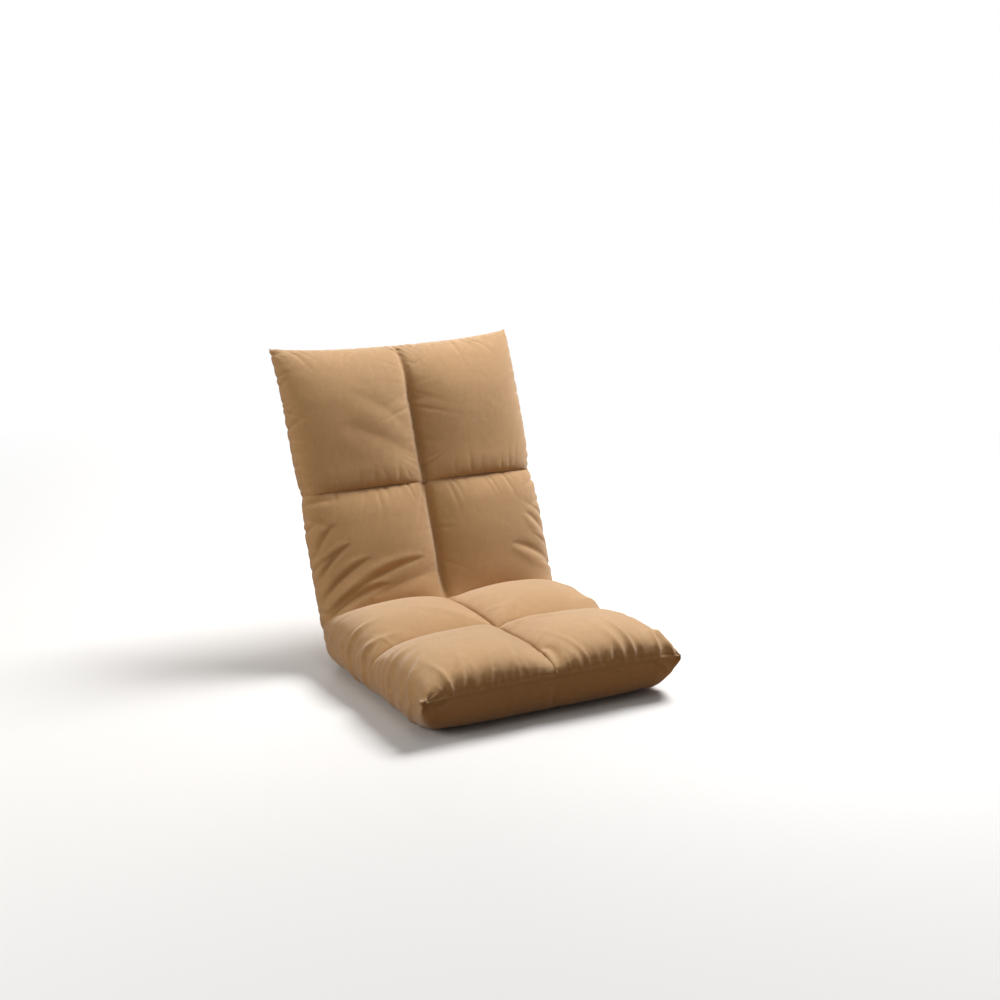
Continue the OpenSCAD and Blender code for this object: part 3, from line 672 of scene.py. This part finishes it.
def refine(cover):
    divide = cover.modifiers.new("Subdivision", "SUBSURF")
    divide.levels = divide.render_levels = 1
    finer = bpy.data.meshes.new_from_object(evaluated(cover))
    cover.modifiers.remove(divide)
    coarse = cover.data
    cover.data = finer
    bpy.data.meshes.remove(coarse)
    finer.name = cover.name
    finer.shade_smooth()
    print(f"{cover.name}: {len(finer.polygons)} squares")


for cover in COVERS:
    refine(cover)

# %% [markdown]
# ## Tucks, grooves and folds
# Where a long edge of cloth is sewn to a shorter one it gathers into tucks: narrow valleys that start at
# the seam, are often deepest a finger's width away, and run out on the puffed cell. Each valley here is
# drawn with a seeded chance for its place, width, lean and depth, and the cloth rises a little on both
# sides of it. At a pointed corner the tucks spread like a fan, a sewn line is a narrow groove, and a few
# long folds show where the cloth is pulled.

# %% Kinds of tuck
KINDS = {
    # spacing, width, depth, peak, lean. The peak is where it is deepest, or how far it reaches at a side
    "seat seam": (0.027, 0.0065, 0.0062, 0.022, 0.35),
    "seat seam fine": (0.015, 0.0036, 0.0018, 0.010, 0.5),
    "seat under": (0.055, 0.010, 0.0018, 0.028, 0.6),
    "seat side": (0.034, 0.0105, 0.0066, 0.070, 0.5),
    "seat side fine": (0.028, 0.0062, 0.0018, 0.045, 0.7),
    "seat middle": (0.032, 0.004, 0.0014, 0.010, 0.6),
    "seat cross": (0.040, 0.006, 0.0012, 0.012, 0.6),
    "back neck": (0.026, 0.005, 0.0030, 0.011, 0.5),
    "back side": (0.021, 0.0052, 0.0050, 0.050, 0.8),
    "back middle": (0.030, 0.004, 0.0014, 0.010, 0.6),
    "back rear": (0.040, 0.008, 0.0024, 0.018, 0.5),
    "head neck": (0.024, 0.0045, 0.0018, 0.008, 0.4),
    "head rear": (0.045, 0.008, 0.0022, 0.018, 0.5),
    "head seam": (0.019, 0.0042, 0.0026, 0.013, 0.6),
    "head side": (0.017, 0.0042, 0.0032, 0.035, 0.6),
    "head middle": (0.028, 0.004, 0.0014, 0.012, 0.6),
    # In a corner the first two are angles
    "seat corner": (0.42, 0.13, 0.0045, 0.012, 0.0),
    "head corner": (0.42, 0.13, 0.0030, 0.012, 0.0),
}
RIDGE_RISE = 0.45
RIDGE_WIDTH = 2.4
VALLEY_POWER = 1.4
CORNER_SPAN = (0.1, 1.5)
WIDE = (-HALF_BODY, HALF_BODY)
SIDE_FROM = 0.1
FOLD_FADE = 0.8
FOLD_TIP = 0.45
FOLD_POWER = 1.5


def tucks(kind, seed, span, place, off, fall=None):
    """Depth of a row of tucks. place runs along the seam, off away from it."""
    spacing, width, depth, peak, lean = KINDS[kind]
    draw = np.random.default_rng(seed)
    lift = np.zeros(len(place))
    at = span[0]
    while at < span[1]:
        w = width * draw.uniform(0.65, 1.5)
        p = peak * draw.uniform(0.5, 1.6)
        d = depth * draw.uniform(0.2, 1.35)
        tilt = lean * draw.uniform(-1, 1)
        gap = np.abs(place - at - tilt * off) / w
        fade = (off / p) * np.exp(1 - off / p) if fall is None else fall * near(off, p)
        lift += d * (RIDGE_RISE * near(gap, RIDGE_WIDTH) - np.exp(-gap ** VALLEY_POWER)) * fade
        at += spacing * draw.uniform(0.4, 1.6)
    return lift


def corner_tucks(kind, seed, edge, end):
    """Tucks that spread from a corner, drawn over the angle round it."""
    return tucks(kind, seed, CORNER_SPAN, np.arctan2(end, edge + 1e-6), np.hypot(edge, end))


def fold(x, s, start, end, bow, width, depth, ridge=0.5):
    """One long fold from start to end, bowed to its left, with a low ridge beside the valley on that side."""
    run = np.subtract(end, start)
    length = np.hypot(*run)
    run = run / length
    along = ((x - start[0]) * run[0] + (s - start[1]) * run[1]) / length
    left = (s - start[1]) * run[0] - (x - start[0]) * run[1]
    fade = np.clip(4 * along * (1 - along), 0, 1) ** FOLD_FADE
    gap = (left - 4 * bow * along * (1 - along)) / (width * mix(FOLD_TIP, 1, fade))
    return depth * fade * (ridge * near(gap - 2, 1.5) - np.exp(-np.abs(gap) ** FOLD_POWER))


def groove(off, width, depth):
    """A narrow sewn line: the cloth is pulled in along it."""
    return -depth * near(off, width)


def side_zone(sign, x, edge, reach, soft):
    """One beside the side edge on one side of the chair, and nothing farther in than reach."""
    return smooth(sign * x / SIDE_FROM) * smooth((reach - edge) / soft)


def cloth_places(cover, form):
    """For each point: place across and along, face, and the distances to the side edge and the end."""
    names = ("share", "place", "face", "edge_off", "end_off")
    u, s, face, edge, end = (read_values(cover.data, name) for name in names)
    return u * form.half_width(s), s, np.clip(face, 0, 1), np.clip(-face, 0, 1), edge, end


def press(cover, lift):
    mesh = cover.data
    points = read_points(mesh) + read_normals(mesh) * lift[:, None]
    points[:, 2] = np.maximum(points[:, 2], FLOOR_CLEAR)
    write_points(mesh, points)
    print(f"{cover.name}: tucks up to {1000 * -lift.min():.1f} mm deep")


# %% Press them into the seat
SIDE_SPAN = (-0.04, SEAT_LEN)
REAR_LEAN = 0.45
FRONT_LEAN = -0.25


def seat_tucks():
    x, s, top, under, edge, end = cloth_places(seat_pad, SEAT)
    ends = 0.6 + 0.6 * (x / HALF_BODY) ** 2
    lift = tucks("seat seam", 11, WIDE, x, end) * top * ends
    lift += tucks("seat seam fine", 17, WIDE, x, end) * top
    lift += tucks("seat under", 12, WIDE, x, end) * under
    slanted = s - edge * mix(REAR_LEAN, FRONT_LEAN, s / SEAT_LEN)
    for sign, seed in ((-1, 13), (1, 14)):
        zone = side_zone(sign, x, edge, reach=0.105, soft=0.06)
        zone = zone * smooth((end - 0.008) / 0.05) * smooth((s + 0.015) / 0.05)
        lift += tucks("seat side", seed, SIDE_SPAN, slanted, edge, zone)
        lift += tucks("seat side fine", seed + 60, SIDE_SPAN, slanted, edge, zone)
        lift += corner_tucks("seat corner", seed + 70, edge, end) * (sign * x > 0)
    lift += tucks("seat middle", 15, (0.06, SEAT_LEN), s, np.abs(x)) * top
    lift += tucks("seat cross", 16, WIDE, x, np.abs(s - CROSS_AT)) * top
    lift += fold(x, s, (0.0, SEAT_LEN), (0.004, SEAT_LEN - 0.06), bow=0.002, width=0.005, depth=0.006) * top
    pinched = smooth((np.abs(x) / HALF_BODY - 0.74) / 0.16)
    lift += groove(end, mix(0.0016, 0.0028, pinched), mix(0.0018, 0.0040, pinched))
    for sign in (-1, 1):
        inner = (sign * 0.80 * HALF_BODY, 0.002)
        outer = (sign * 0.94 * HALF_BODY, 0.036)
        lift += fold(x, end, inner, outer, bow=-sign * 0.005, width=0.005, depth=0.0034) * under
    press(seat_pad, lift)


seat_tucks()

# %% Press them into the back
PULLS = [
    # start across, start up, end across, end up, bow, width, depth, ridge
    (-1.00, 0.12, -0.14, 0.43, 0.016, 0.0065, 0.0050, 0.5),
    (-1.00, 0.08, -0.48, 0.28, 0.010, 0.0070, 0.0056, 0.5),
    (-1.00, 0.22, -0.60, 0.48, 0.008, 0.0055, 0.0038, 0.5),
    (-1.00, 0.36, -0.74, 0.60, 0.006, 0.0060, 0.0040, 0.5),
    (-1.00, 0.53, -0.82, 0.76, 0.004, 0.0055, 0.0032, 0.5),
    (-0.62, 0.20, 0.02, 0.33, 0.004, 0.0150, 0.0046, -0.3),
    (1.00, 0.24, 0.60, 0.44, -0.008, 0.0075, 0.0036, 0.5),
    (1.00, 0.45, 0.78, 0.66, -0.005, 0.0065, 0.0036, 0.5),
]


def pulled_folds(x, s):
    """Long folds that the sitter's weight leaves: they rise from the ends of the waist crease."""
    lift = 0 * x
    for from_u, from_s, to_u, to_s, *look in PULLS:
        begin = (from_u * HALF_BODY, from_s * BACK_LEN)
        finish = (to_u * HALF_BODY, to_s * BACK_LEN)
        lift += fold(x, s, begin, finish, *look)
    return lift


def back_tucks():
    x, s, front, rear, edge, _ = cloth_places(back_pad, BACK)
    off_neck = np.clip(BACK_LEN - s, 0, None)
    lift = tucks("back neck", 21, WIDE, x, off_neck) * front
    for sign, seed in ((-1, 22), (1, 23)):
        zone = side_zone(sign, x, edge, reach=0.11, soft=0.09)
        lift += tucks("back side", seed, (0, BACK_LEN), s, edge, zone)
    lift += tucks("back middle", 24, (0.03, BACK_LEN), s, np.abs(x)) * front
    lift += tucks("back rear", 25, WIDE, x, off_neck) * rear
    lift += groove(x, width=0.0075, depth=0.0042) * front
    lift += pulled_folds(x, s) * front
    press(back_pad, lift)


back_tucks()

# %% Press them into the head
WAVE_FROM = 0.16 * HEAD_LEN
WAVES = [
    # start, end, bow, width, depth
    ((0.0, WAVE_FROM - 0.01), (-0.16, WAVE_FROM + 0.07), -0.008, 0.020, 0.0022),
    ((-0.005, WAVE_FROM + 0.04), (-0.13, WAVE_FROM + 0.13), -0.008, 0.018, 0.0016),
]


def head_tucks():
    x, s, front, rear, edge, end = cloth_places(head_pad, HEAD)
    off_neck = np.clip(s, 0, None)
    lift = tucks("head neck", 31, WIDE, x, off_neck) * front
    lift += tucks("head rear", 36, WIDE, x, off_neck) * rear
    lift += tucks("head seam", 32, WIDE, x, end) * (front + 0.6 * rear)
    for sign, seed in ((-1, 33), (1, 34)):
        zone = side_zone(sign, x, edge, reach=0.07, soft=0.06)
        lift += tucks("head side", seed, (0, HEAD_LEN), s, edge, zone)
        lift += corner_tucks("head corner", seed + 70, edge, end) * (sign * x > 0)
    lift += tucks("head middle", 35, (0.02, HEAD_LEN), s, np.abs(x)) * front
    for wave in WAVES:
        lift += fold(x, s, *wave) * front
    lift += groove(x, width=0.0075, depth=0.0038) * front * smooth(end / 0.03)
    lift += groove(end, width=0.0016, depth=0.0020)
    press(head_pad, lift)


head_tucks()

# %% [markdown]
# ## The cloth under the seat
# A thin non-woven sheet closes the underside. It lies on the floor, so it is almost flat, but it is still
# cloth: it has rounded corners, a slight waviness and a sewn hem line.

# %% Make the base cloth
cloth_low, cloth_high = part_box("seat_base_cloth")
cloth_size = cloth_high - cloth_low
CLOTH_CORNER = 0.025
CLOTH_THICK = 0.0006
CLOTH_COLUMNS = 60
CLOTH_ROWS = 52
LIE_AT = 0.25
WAVE_RISE = 0.2
WAVES_ACROSS = 41
WAVES_ALONG = 37
WAVES_BEND = 23
HEM_OFF = 0.006
HEM_WIDTH = 0.0025
HEM_RISE = 0.2


def make_base_cloth():
    bm = bmesh.new()
    bmesh.ops.create_grid(bm, x_segments=CLOTH_COLUMNS, y_segments=CLOTH_ROWS, size=0.5)
    size = cloth_size
    middle = (cloth_high + cloth_low) / 2
    for vertex in bm.verts:
        x = vertex.co.x * size.x
        y = vertex.co.y * size.y
        over_x = abs(x) - (size.x / 2 - CLOTH_CORNER)
        over_y = abs(y) - (size.y / 2 - CLOTH_CORNER)
        if over_x > 0 and over_y > 0:
            pull = max(over_x, over_y) / math.hypot(over_x, over_y)
            x = math.copysign(size.x / 2 - CLOTH_CORNER + over_x * pull, x)
            y = math.copysign(size.y / 2 - CLOTH_CORNER + over_y * pull, y)
        across = math.sin(x * WAVES_ACROSS + 2 * math.sin(y * WAVES_BEND))
        wave = LIE_AT + WAVE_RISE * across * math.sin(y * WAVES_ALONG + 1)
        edge = min(size.x / 2 - abs(x), size.y / 2 - abs(y))
        hem = HEM_RISE * math.exp(-((edge - HEM_OFF) / HEM_WIDTH) ** 2)
        vertex.co = Vector((middle.x + x, middle.y + y, size.z * (wave + hem)))
    bmesh.ops.solidify(bm, geom=bm.faces[:], thickness=-CLOTH_THICK)
    bmesh.ops.recalc_face_normals(bm, faces=bm.faces)
    mesh = keep_mesh(bm, "base_cloth")
    mesh.shade_smooth()
    print("base cloth", round(size.x, 3), "by", round(size.y, 3), "m")
    return add_object("base_cloth", mesh)


base_cloth = make_base_cloth()

# %% [markdown]
# ## Finishes
# A material is built from nodes, so that it has detail at any distance. A few helpers keep the node code
# short, and the weave and the metal surface are node groups of their own.

# %% Helpers for node trees
# A Mix node names its sockets alike for numbers, vectors and colours. These are the colours.
MIX_FIRST = 6
MIX_SECOND = 7
MIX_RESULT = 2


class Nodes:
    """Adds shader nodes to a tree and links them by name."""

    def __init__(self, tree):
        self.tree = tree

    def add(self, kind, inputs=None, **settings):
        node = self.tree.nodes.new("ShaderNode" + kind)
        for key, value in settings.items():
            setattr(node, key, value)
        self.fill(node.inputs, inputs or {})
        return node

    def fill(self, sockets, values):
        for key, value in values.items():
            self.feed(sockets[key], value)

    def feed(self, socket, value):
        if isinstance(value, bpy.types.NodeSocket):
            self.tree.links.new(value, socket)
        else:
            socket.default_value = (*value, 1) if socket.type == "RGBA" else value

    def place(self):
        return self.add("TexCoord").outputs["Object"]

    def math(self, operation, *values):
        node = self.add("Math", operation=operation)
        for socket, value in zip(node.inputs, values):
            self.feed(socket, value)
        return node.outputs[0]

    def times(self, a, b):
        return self.math("MULTIPLY", a, b)

    def scaled(self, vector, factor):
        return self.add("VectorMath", {0: vector, "Scale": factor}, operation="SCALE").outputs[0]

    def noise(self, vector, scale, detail=3.0, roughness=0.5):
        inputs = {"Vector": vector, "Scale": scale, "Detail": detail, "Roughness": roughness}
        return self.add("TexNoise", inputs).outputs["Fac"]

    def stretched(self, vector, scale):
        return self.add("Mapping", {"Vector": vector, "Scale": scale}).outputs[0]

    def blend(self, factor, first, second):
        inputs = {"Factor": factor, MIX_FIRST: first, MIX_SECOND: second}
        return self.add("Mix", inputs, data_type="RGBA").outputs[MIX_RESULT]

    def ranged(self, value, low, high, to_low=0.0, to_high=1.0):
        return self.add("MapRange", {"Value": value, "From Min": low, "From Max": high,
                                     "To Min": to_low, "To Max": to_high}).outputs[0]

    def bump(self, height, distance, strength, **more):
        inputs = {"Height": height, "Distance": distance, "Strength": strength, **more}
        return self.add("Bump", inputs).outputs[0]


def new_group(name, inputs, outputs):
    """An empty node group. Inputs without a value are vectors, and all other sockets are numbers."""
    group = bpy.data.node_groups.new(name, "ShaderNodeTree")
    for label, value in inputs.items():
        kind = "NodeSocketVector" if value is None else "NodeSocketFloat"
        socket = group.interface.new_socket(label, in_out="INPUT", socket_type=kind)
        if value is not None:
            socket.default_value = value
    for label in outputs:
        group.interface.new_socket(label, in_out="OUTPUT", socket_type="NodeSocketFloat")
    given = group.nodes.new("NodeGroupInput").outputs
    return group, Nodes(group), given, group.nodes.new("NodeGroupOutput").inputs


def new_material(name):
    material = bpy.data.materials.new(name)
    material.use_nodes = True
    return material, Nodes(material.node_tree), material.node_tree.nodes["Principled BSDF"]


print("node helpers ready")

# %% [markdown]
# Canvas is a plain weave: a warp thread passes over one weft thread and under the next. In a grid whose
# squares are one thread wide, the sign of two sines multiplied says which thread is on top, and each sine
# alone gives the round of a thread. Thick and thin places along single threads, called slubs, keep it from
# looking printed.

# %% Build the weave as a node group


def build_weave():
    group, n, given, result = new_group("canvas_weave", {"Cloth": None, "Pitch": 0.001},
                                        ["Height", "Warp", "Slub"])
    turns = n.scaled(given["Cloth"], n.math("DIVIDE", 1.0, given["Pitch"]))
    axes = n.add("SeparateXYZ", {"Vector": turns}).outputs
    wave_x = n.math("SINE", n.times(axes["X"], math.pi))
    wave_y = n.math("SINE", n.times(axes["Y"], math.pi))
    over = n.math("GREATER_THAN", n.times(wave_x, wave_y), 0.0)
    round_x = n.math("POWER", n.math("ABSOLUTE", wave_x), 0.6)
    round_y = n.math("POWER", n.math("ABSOLUTE", wave_y), 0.6)
    warp = n.times(round_x, n.math("MULTIPLY_ADD", round_y, 0.4, 0.6))
    weft = n.times(round_y, n.math("MULTIPLY_ADD", round_x, 0.4, 0.6))
    below = n.times(weft, n.math("SUBTRACT", 1.0, over))
    slub_x = n.noise(n.stretched(turns, (1.0, 0.04, 1.0)), 1.0, 2.0)
    slub_y = n.noise(n.stretched(turns, (0.04, 1.0, 1.0)), 1.0, 2.0)
    slub = n.math("MULTIPLY_ADD", n.math("SUBTRACT", slub_x, slub_y), over, slub_y)
    n.fill(result, {"Height": n.math("ADD", n.times(warp, over), below), "Warp": over, "Slub": slub})
    return group


canvas_weave = build_weave()
print("weave group has", len(canvas_weave.nodes), "nodes")

# %% [markdown]
# The cover is tan cotton canvas with lighter warp and a darker, more orange weft. Its colour also drifts
# over hand-wide areas, and the nap gives it a soft sheen at grazing angles.

# %% Cover canvas
WARP_TAN = (0.550, 0.328, 0.146)
WEFT_TAN = (0.422, 0.225, 0.083)
THREAD_PITCH = 0.0009


def cover_canvas():
    material, n, shader = new_material("tan_canvas")
    uv = n.add("UVMap", uv_map="cloth").outputs["UV"]
    place = n.place()
    weave = n.add("Group", {"Cloth": uv, "Pitch": THREAD_PITCH}, node_tree=canvas_weave).outputs
    slub = n.ranged(weave["Slub"], 0.3, 0.7, 0.86, 1.14)
    drift = n.ranged(n.noise(place, 9.0, 4.0, 0.55), 0.3, 0.7, 0.95, 1.05)
    lumps = n.bump(n.noise(place, 55.0), 0.0012, 0.5)
    n.fill(shader.inputs, {
        "Base Color": n.scaled(n.blend(weave["Warp"], WEFT_TAN, WARP_TAN), n.times(slub, drift)),
        "Roughness": n.ranged(weave["Height"], 0.0, 1.0, 0.95, 0.78),
        "Normal": n.bump(weave["Height"], 0.00018, 0.8, Normal=lumps),
        "Sheen Weight": 0.55,
        "Sheen Roughness": 0.5,
        "Sheen Tint": (1.0, 0.96, 0.90),
        "Specular IOR Level": 0.4,
    })
    return material


tan_canvas = cover_canvas()
print("cover canvas:", len(tan_canvas.node_tree.nodes), "nodes")

# %% [markdown]
# Non-woven cloth is a felt of loose plastic fibres pressed together at a grid of hot dots. Two stretched
# noises make the fibres, and a wave across both directions makes the dots.

# %% Base cloth, non-woven
FELT_BLACK = (0.030, 0.028, 0.027)
FELT_GREY = (0.062, 0.058, 0.055)
DOT_PITCH = 0.0026


def felt_cloth():
    material, n, shader = new_material("felt_sheet")
    place = n.place()
    fibres = n.math("MAXIMUM", n.noise(n.stretched(place, (900, 90, 90)), 1.0, 2.0),
                    n.noise(n.stretched(place, (90, 900, 90)), 1.0, 2.0))
    axes = n.add("SeparateXYZ", {"Vector": place}).outputs
    turn = math.pi / DOT_PITCH
    dots = n.times(n.math("SINE", n.times(axes["X"], turn)), n.math("SINE", n.times(axes["Y"], turn)))
    pressed = n.ranged(n.math("ABSOLUTE", dots), 0.55, 0.85)
    n.fill(shader.inputs, {
        "Base Color": n.blend(n.ranged(fibres, 0.45, 0.75), FELT_BLACK, FELT_GREY),
        "Roughness": n.ranged(pressed, 0.0, 1.0, 0.9, 0.6),
        "Normal": n.bump(n.math("SUBTRACT", n.times(fibres, 0.5), pressed), 0.00015, 0.7),
    })
    return material


felt_sheet = felt_cloth()
print("felt sheet:", len(felt_sheet.node_tree.nodes), "nodes")

# %% [markdown]
# Foam is a cut block of open cells. Voronoi cells of two sizes give the pores, and the pits of the larger
# ones are painted darker, as painted shade. The yellow also deepens in patches as it does on foam that has
# seen air.

# %% Foam
# FOAM_DEEP is the yellow of aired foam, and also the painted shade in the pore pits
FOAM_PALE = (0.84, 0.76, 0.50)
FOAM_DEEP = (0.72, 0.60, 0.33)


def foam_block():
    material, n, shader = new_material("open_foam")
    place = n.place()
    pores = n.add("TexVoronoi", {"Vector": place, "Scale": 700.0}).outputs["Distance"]
    large = n.add("TexVoronoi", {"Vector": place, "Scale": 260.0}).outputs["Distance"]
    tone = n.blend(n.ranged(n.noise(place, 14.0, 4.0), 0.35, 0.65), FOAM_PALE, FOAM_DEEP)
    # The pits of the larger pores are mixed towards FOAM_DEEP: painted shade in the pits
    n.fill(shader.inputs, {
        "Base Color": n.blend(n.ranged(large, 0.0, 0.35, 0.45, 0.0), tone, FOAM_DEEP),
        "Roughness": 0.95,
        "Normal": n.bump(n.math("ADD", pores, large), 0.0006, 0.8),
        "Sheen Weight": 0.2,
    })
    return material


open_foam = foam_block()
print("foam:", len(open_foam.node_tree.nodes), "nodes")

# %% [markdown]
# ## Steel
# Four steels hide in the padding: coated tube, plated sheet, blued spring strip and plain rivets. They
# share a group that makes fine grain along one direction, soft stains and small scuffs, and each places it
# with its own scale and strength.

# %% Build the metal surface as a node group


def build_metal_surface():
    inputs = {"Place": None, "Grain": 600.0, "Stain Scale": 40.0}
    group, n, given, result = new_group("metal_surface", inputs, ["Grain", "Stain", "Scuff"])
    grain = n.noise(n.stretched(given["Place"], (1.0, 0.06, 0.06)), given["Grain"], 4.0)
    stain = n.noise(given["Place"], given["Stain Scale"], 5.0, 0.6)
    finer = n.times(given["Stain Scale"], 3.0)
    cracks = n.add("TexVoronoi", {"Vector": given["Place"], "Scale": finer},
                   feature="DISTANCE_TO_EDGE").outputs["Distance"]
    scuff = n.times(n.ranged(cracks, 0.0, 0.06, 1.0, 0.0), n.ranged(stain, 0.5, 0.65))
    n.fill(result, {"Grain": grain, "Stain": n.ranged(stain, 0.3, 0.7), "Scuff": scuff})
    return group


metal_surface = build_metal_surface()
print("metal group has", len(metal_surface.nodes), "nodes")

# %% Steel finishes


def steel(name, light, dark, rough, grain, stains, bump_depth, metallic=1.0, coat=0.0):
    """One steel finish: two tones that stains mix, and grain in the roughness and the bump."""
    material, n, shader = new_material(name)
    surface = n.add("Group", {"Place": n.place(), "Grain": grain, "Stain Scale": stains},
                    node_tree=metal_surface).outputs
    tone = n.blend(surface["Stain"], light, dark)
    n.fill(shader.inputs, {
        "Base Color": n.blend(n.times(surface["Scuff"], 0.5), tone, light),
        "Roughness": n.math("MULTIPLY_ADD", surface["Grain"], 0.25, rough - 0.12),
        "Metallic": metallic,
        "Coat Weight": coat,
        "Normal": n.bump(surface["Grain"], bump_depth, 0.6),
    })
    return material


FINISHES = {
    "foam": open_foam,
    "base_cloth": felt_sheet,
    "cover_fabric": tan_canvas,
    "steel_tube": steel("coated_tube", (0.030, 0.030, 0.032), (0.014, 0.014, 0.015), rough=0.42,
                        grain=900.0, stains=30.0, bump_depth=0.0002, metallic=0.0, coat=0.3),
    "hinge_steel": steel("plated_sheet", (0.66, 0.66, 0.62), (0.50, 0.51, 0.46), rough=0.34,
                         grain=700.0, stains=45.0, bump_depth=0.0001),
    "spring_steel": steel("blued_strip", (0.34, 0.37, 0.42), (0.20, 0.23, 0.30), rough=0.28,
                          grain=1200.0, stains=60.0, bump_depth=0.00005),
    "rivets": steel("rivet_steel", (0.56, 0.55, 0.53), (0.40, 0.39, 0.37), rough=0.38,
                    grain=1500.0, stains=80.0, bump_depth=0.00005),
}

for node in frame["nodes"].values():
    for socket in node.material_slots:
        socket.material = FINISHES[socket.material.name]
print("finished", len(frame["nodes"]), "packed nodes")

# %% [markdown]
# ## Fitting the covers to the model
# Each cover takes the place of the plain solids. The seat's rides on the seat. The other two cross a hinge,
# and here they keep their places and ride on no body.

for cover in COVERS:
    cover.data.materials.clear()
    cover.data.materials.append(tan_canvas)
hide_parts("seat_cushion")
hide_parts("back_cushion", "waist_gusset", "waist_rear_gusset")
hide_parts("head_cushion", "neck_gusset")
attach(seat_pad, "seat")
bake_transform(back_pad)
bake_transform(head_pad)

base_cloth.data.materials.append(felt_sheet)
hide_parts("seat_base_cloth")
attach(base_cloth, "seat")
print("four cloth pieces in place")

# %% [markdown]
# ## Floor, camera and light
# The floor is plain and pale. The camera stands where the photographer stood, to the front left of the
# chair and a little above it. A window at the right lights the tops, weaker lamps overhead, at the left and
# behind soften the shade, and the pale surroundings fill the rest. The floor fades to white with distance,
# and the light that it throws back is warm.

# %% Floor
FLOOR_SIZE = 60
FLOOR_TONE = (0.80, 0.79, 0.78)
FLOOR_BOUNCE = (0.24, 0.15, 0.07)
FADE_FROM = 0.6
FADE_TO = 2.6


def make_floor():
    bm = bmesh.new()
    bmesh.ops.create_grid(bm, x_segments=1, y_segments=1, size=FLOOR_SIZE / 2)
    floor = add_object("floor", keep_mesh(bm, "floor"))
    material, n, shader = new_material("pale_floor")
    seen = n.add("LightPath").outputs["Is Camera Ray"]
    n.fill(shader.inputs, {
        "Base Color": n.blend(seen, FLOOR_BOUNCE, FLOOR_TONE),
        "Roughness": 0.9,
        "Specular IOR Level": 0.1,
    })
    away = n.add("VectorMath", {0: n.place()}, operation="LENGTH").outputs["Value"]
    far = n.times(n.ranged(away, FADE_FROM, FADE_TO), seen)
    glow = n.add("Emission", {"Color": (1.0, 1.0, 1.0)}).outputs[0]
    mixed = n.add("MixShader", {"Fac": far, 1: shader.outputs[0], 2: glow}).outputs[0]
    n.feed(material.node_tree.nodes["Material Output"].inputs["Surface"], mixed)
    floor.data.materials.append(material)


make_floor()
print("floor", FLOOR_SIZE, "m wide")

# %% Camera
CAMERA_AZIMUTH = math.radians(-28.41)
CAMERA_ELEVATION = math.radians(14.35)
CAMERA_DISTANCE = 3.192
CAMERA_TARGET = Vector((0.0653, 0.0939, 0.3001))
FOCAL_MM = 63.4

camera = add_object("camera", bpy.data.cameras.new("camera"))
away = Vector((math.sin(CAMERA_AZIMUTH) * math.cos(CAMERA_ELEVATION),
               -math.cos(CAMERA_AZIMUTH) * math.cos(CAMERA_ELEVATION),
               math.sin(CAMERA_ELEVATION)))
camera.location = CAMERA_TARGET + CAMERA_DISTANCE * away
camera.rotation_euler = (-away).to_track_quat("-Z", "Y").to_euler()
camera.data.sensor_width = 36
camera.data.lens = FOCAL_MM
scene.camera = camera
print("camera at", [round(c, 3) for c in camera.location])

# %% Lamps and surroundings
ROOM_LIGHT = 0.12
LAMPS = [
    # name, place, aimed at, size, watts, tint
    ("window_light", (1.55, 0.5, 2.35), (0, 0, 0.2), 1.1, 104, (1.0, 1.0, 1.0)),
    ("overhead_light", (-0.42, -0.74, 2.88), (0, 0.1, 0.25), 1.8, 11, (1.0, 0.98, 0.95)),
    ("side_light", (-2.42, 0.36, 1.1), (0, 0.1, 0.25), 1.4, 26, (1.0, 0.96, 0.91)),
    ("rear_light", (0.9, 3.0, 1.1), (0, 0.2, 0.25), 1.6, 34, (1.0, 0.98, 0.95)),
]

for name, place, aim, size, watts, tint in LAMPS:
    lamp = bpy.data.lights.new(name, "AREA")
    lamp.size = size
    lamp.energy = watts
    lamp.color = tint
    holder = add_object(name, lamp)
    holder.location = place
    holder.rotation_euler = (Vector(aim) - Vector(place)).to_track_quat("-Z", "Y").to_euler()

world = bpy.data.worlds.new("pale_room")
scene.world = world
world.use_nodes = True
room = Nodes(world.node_tree)
background = world.node_tree.nodes["Background"]
path = room.add("LightPath").outputs
mirrored = room.math("MAXIMUM", path["Is Glossy Ray"], path["Is Transmission Ray"])
direct = room.math("MAXIMUM", path["Is Camera Ray"], mirrored)
strength = room.ranged(direct, 0.0, 1.0, ROOM_LIGHT, 1.0)
room.fill(background.inputs, {"Strength": strength, "Color": (1, 1, 1)})
scene.view_settings.view_transform = "Standard"
print(len(LAMPS), "lamps and a pale room")
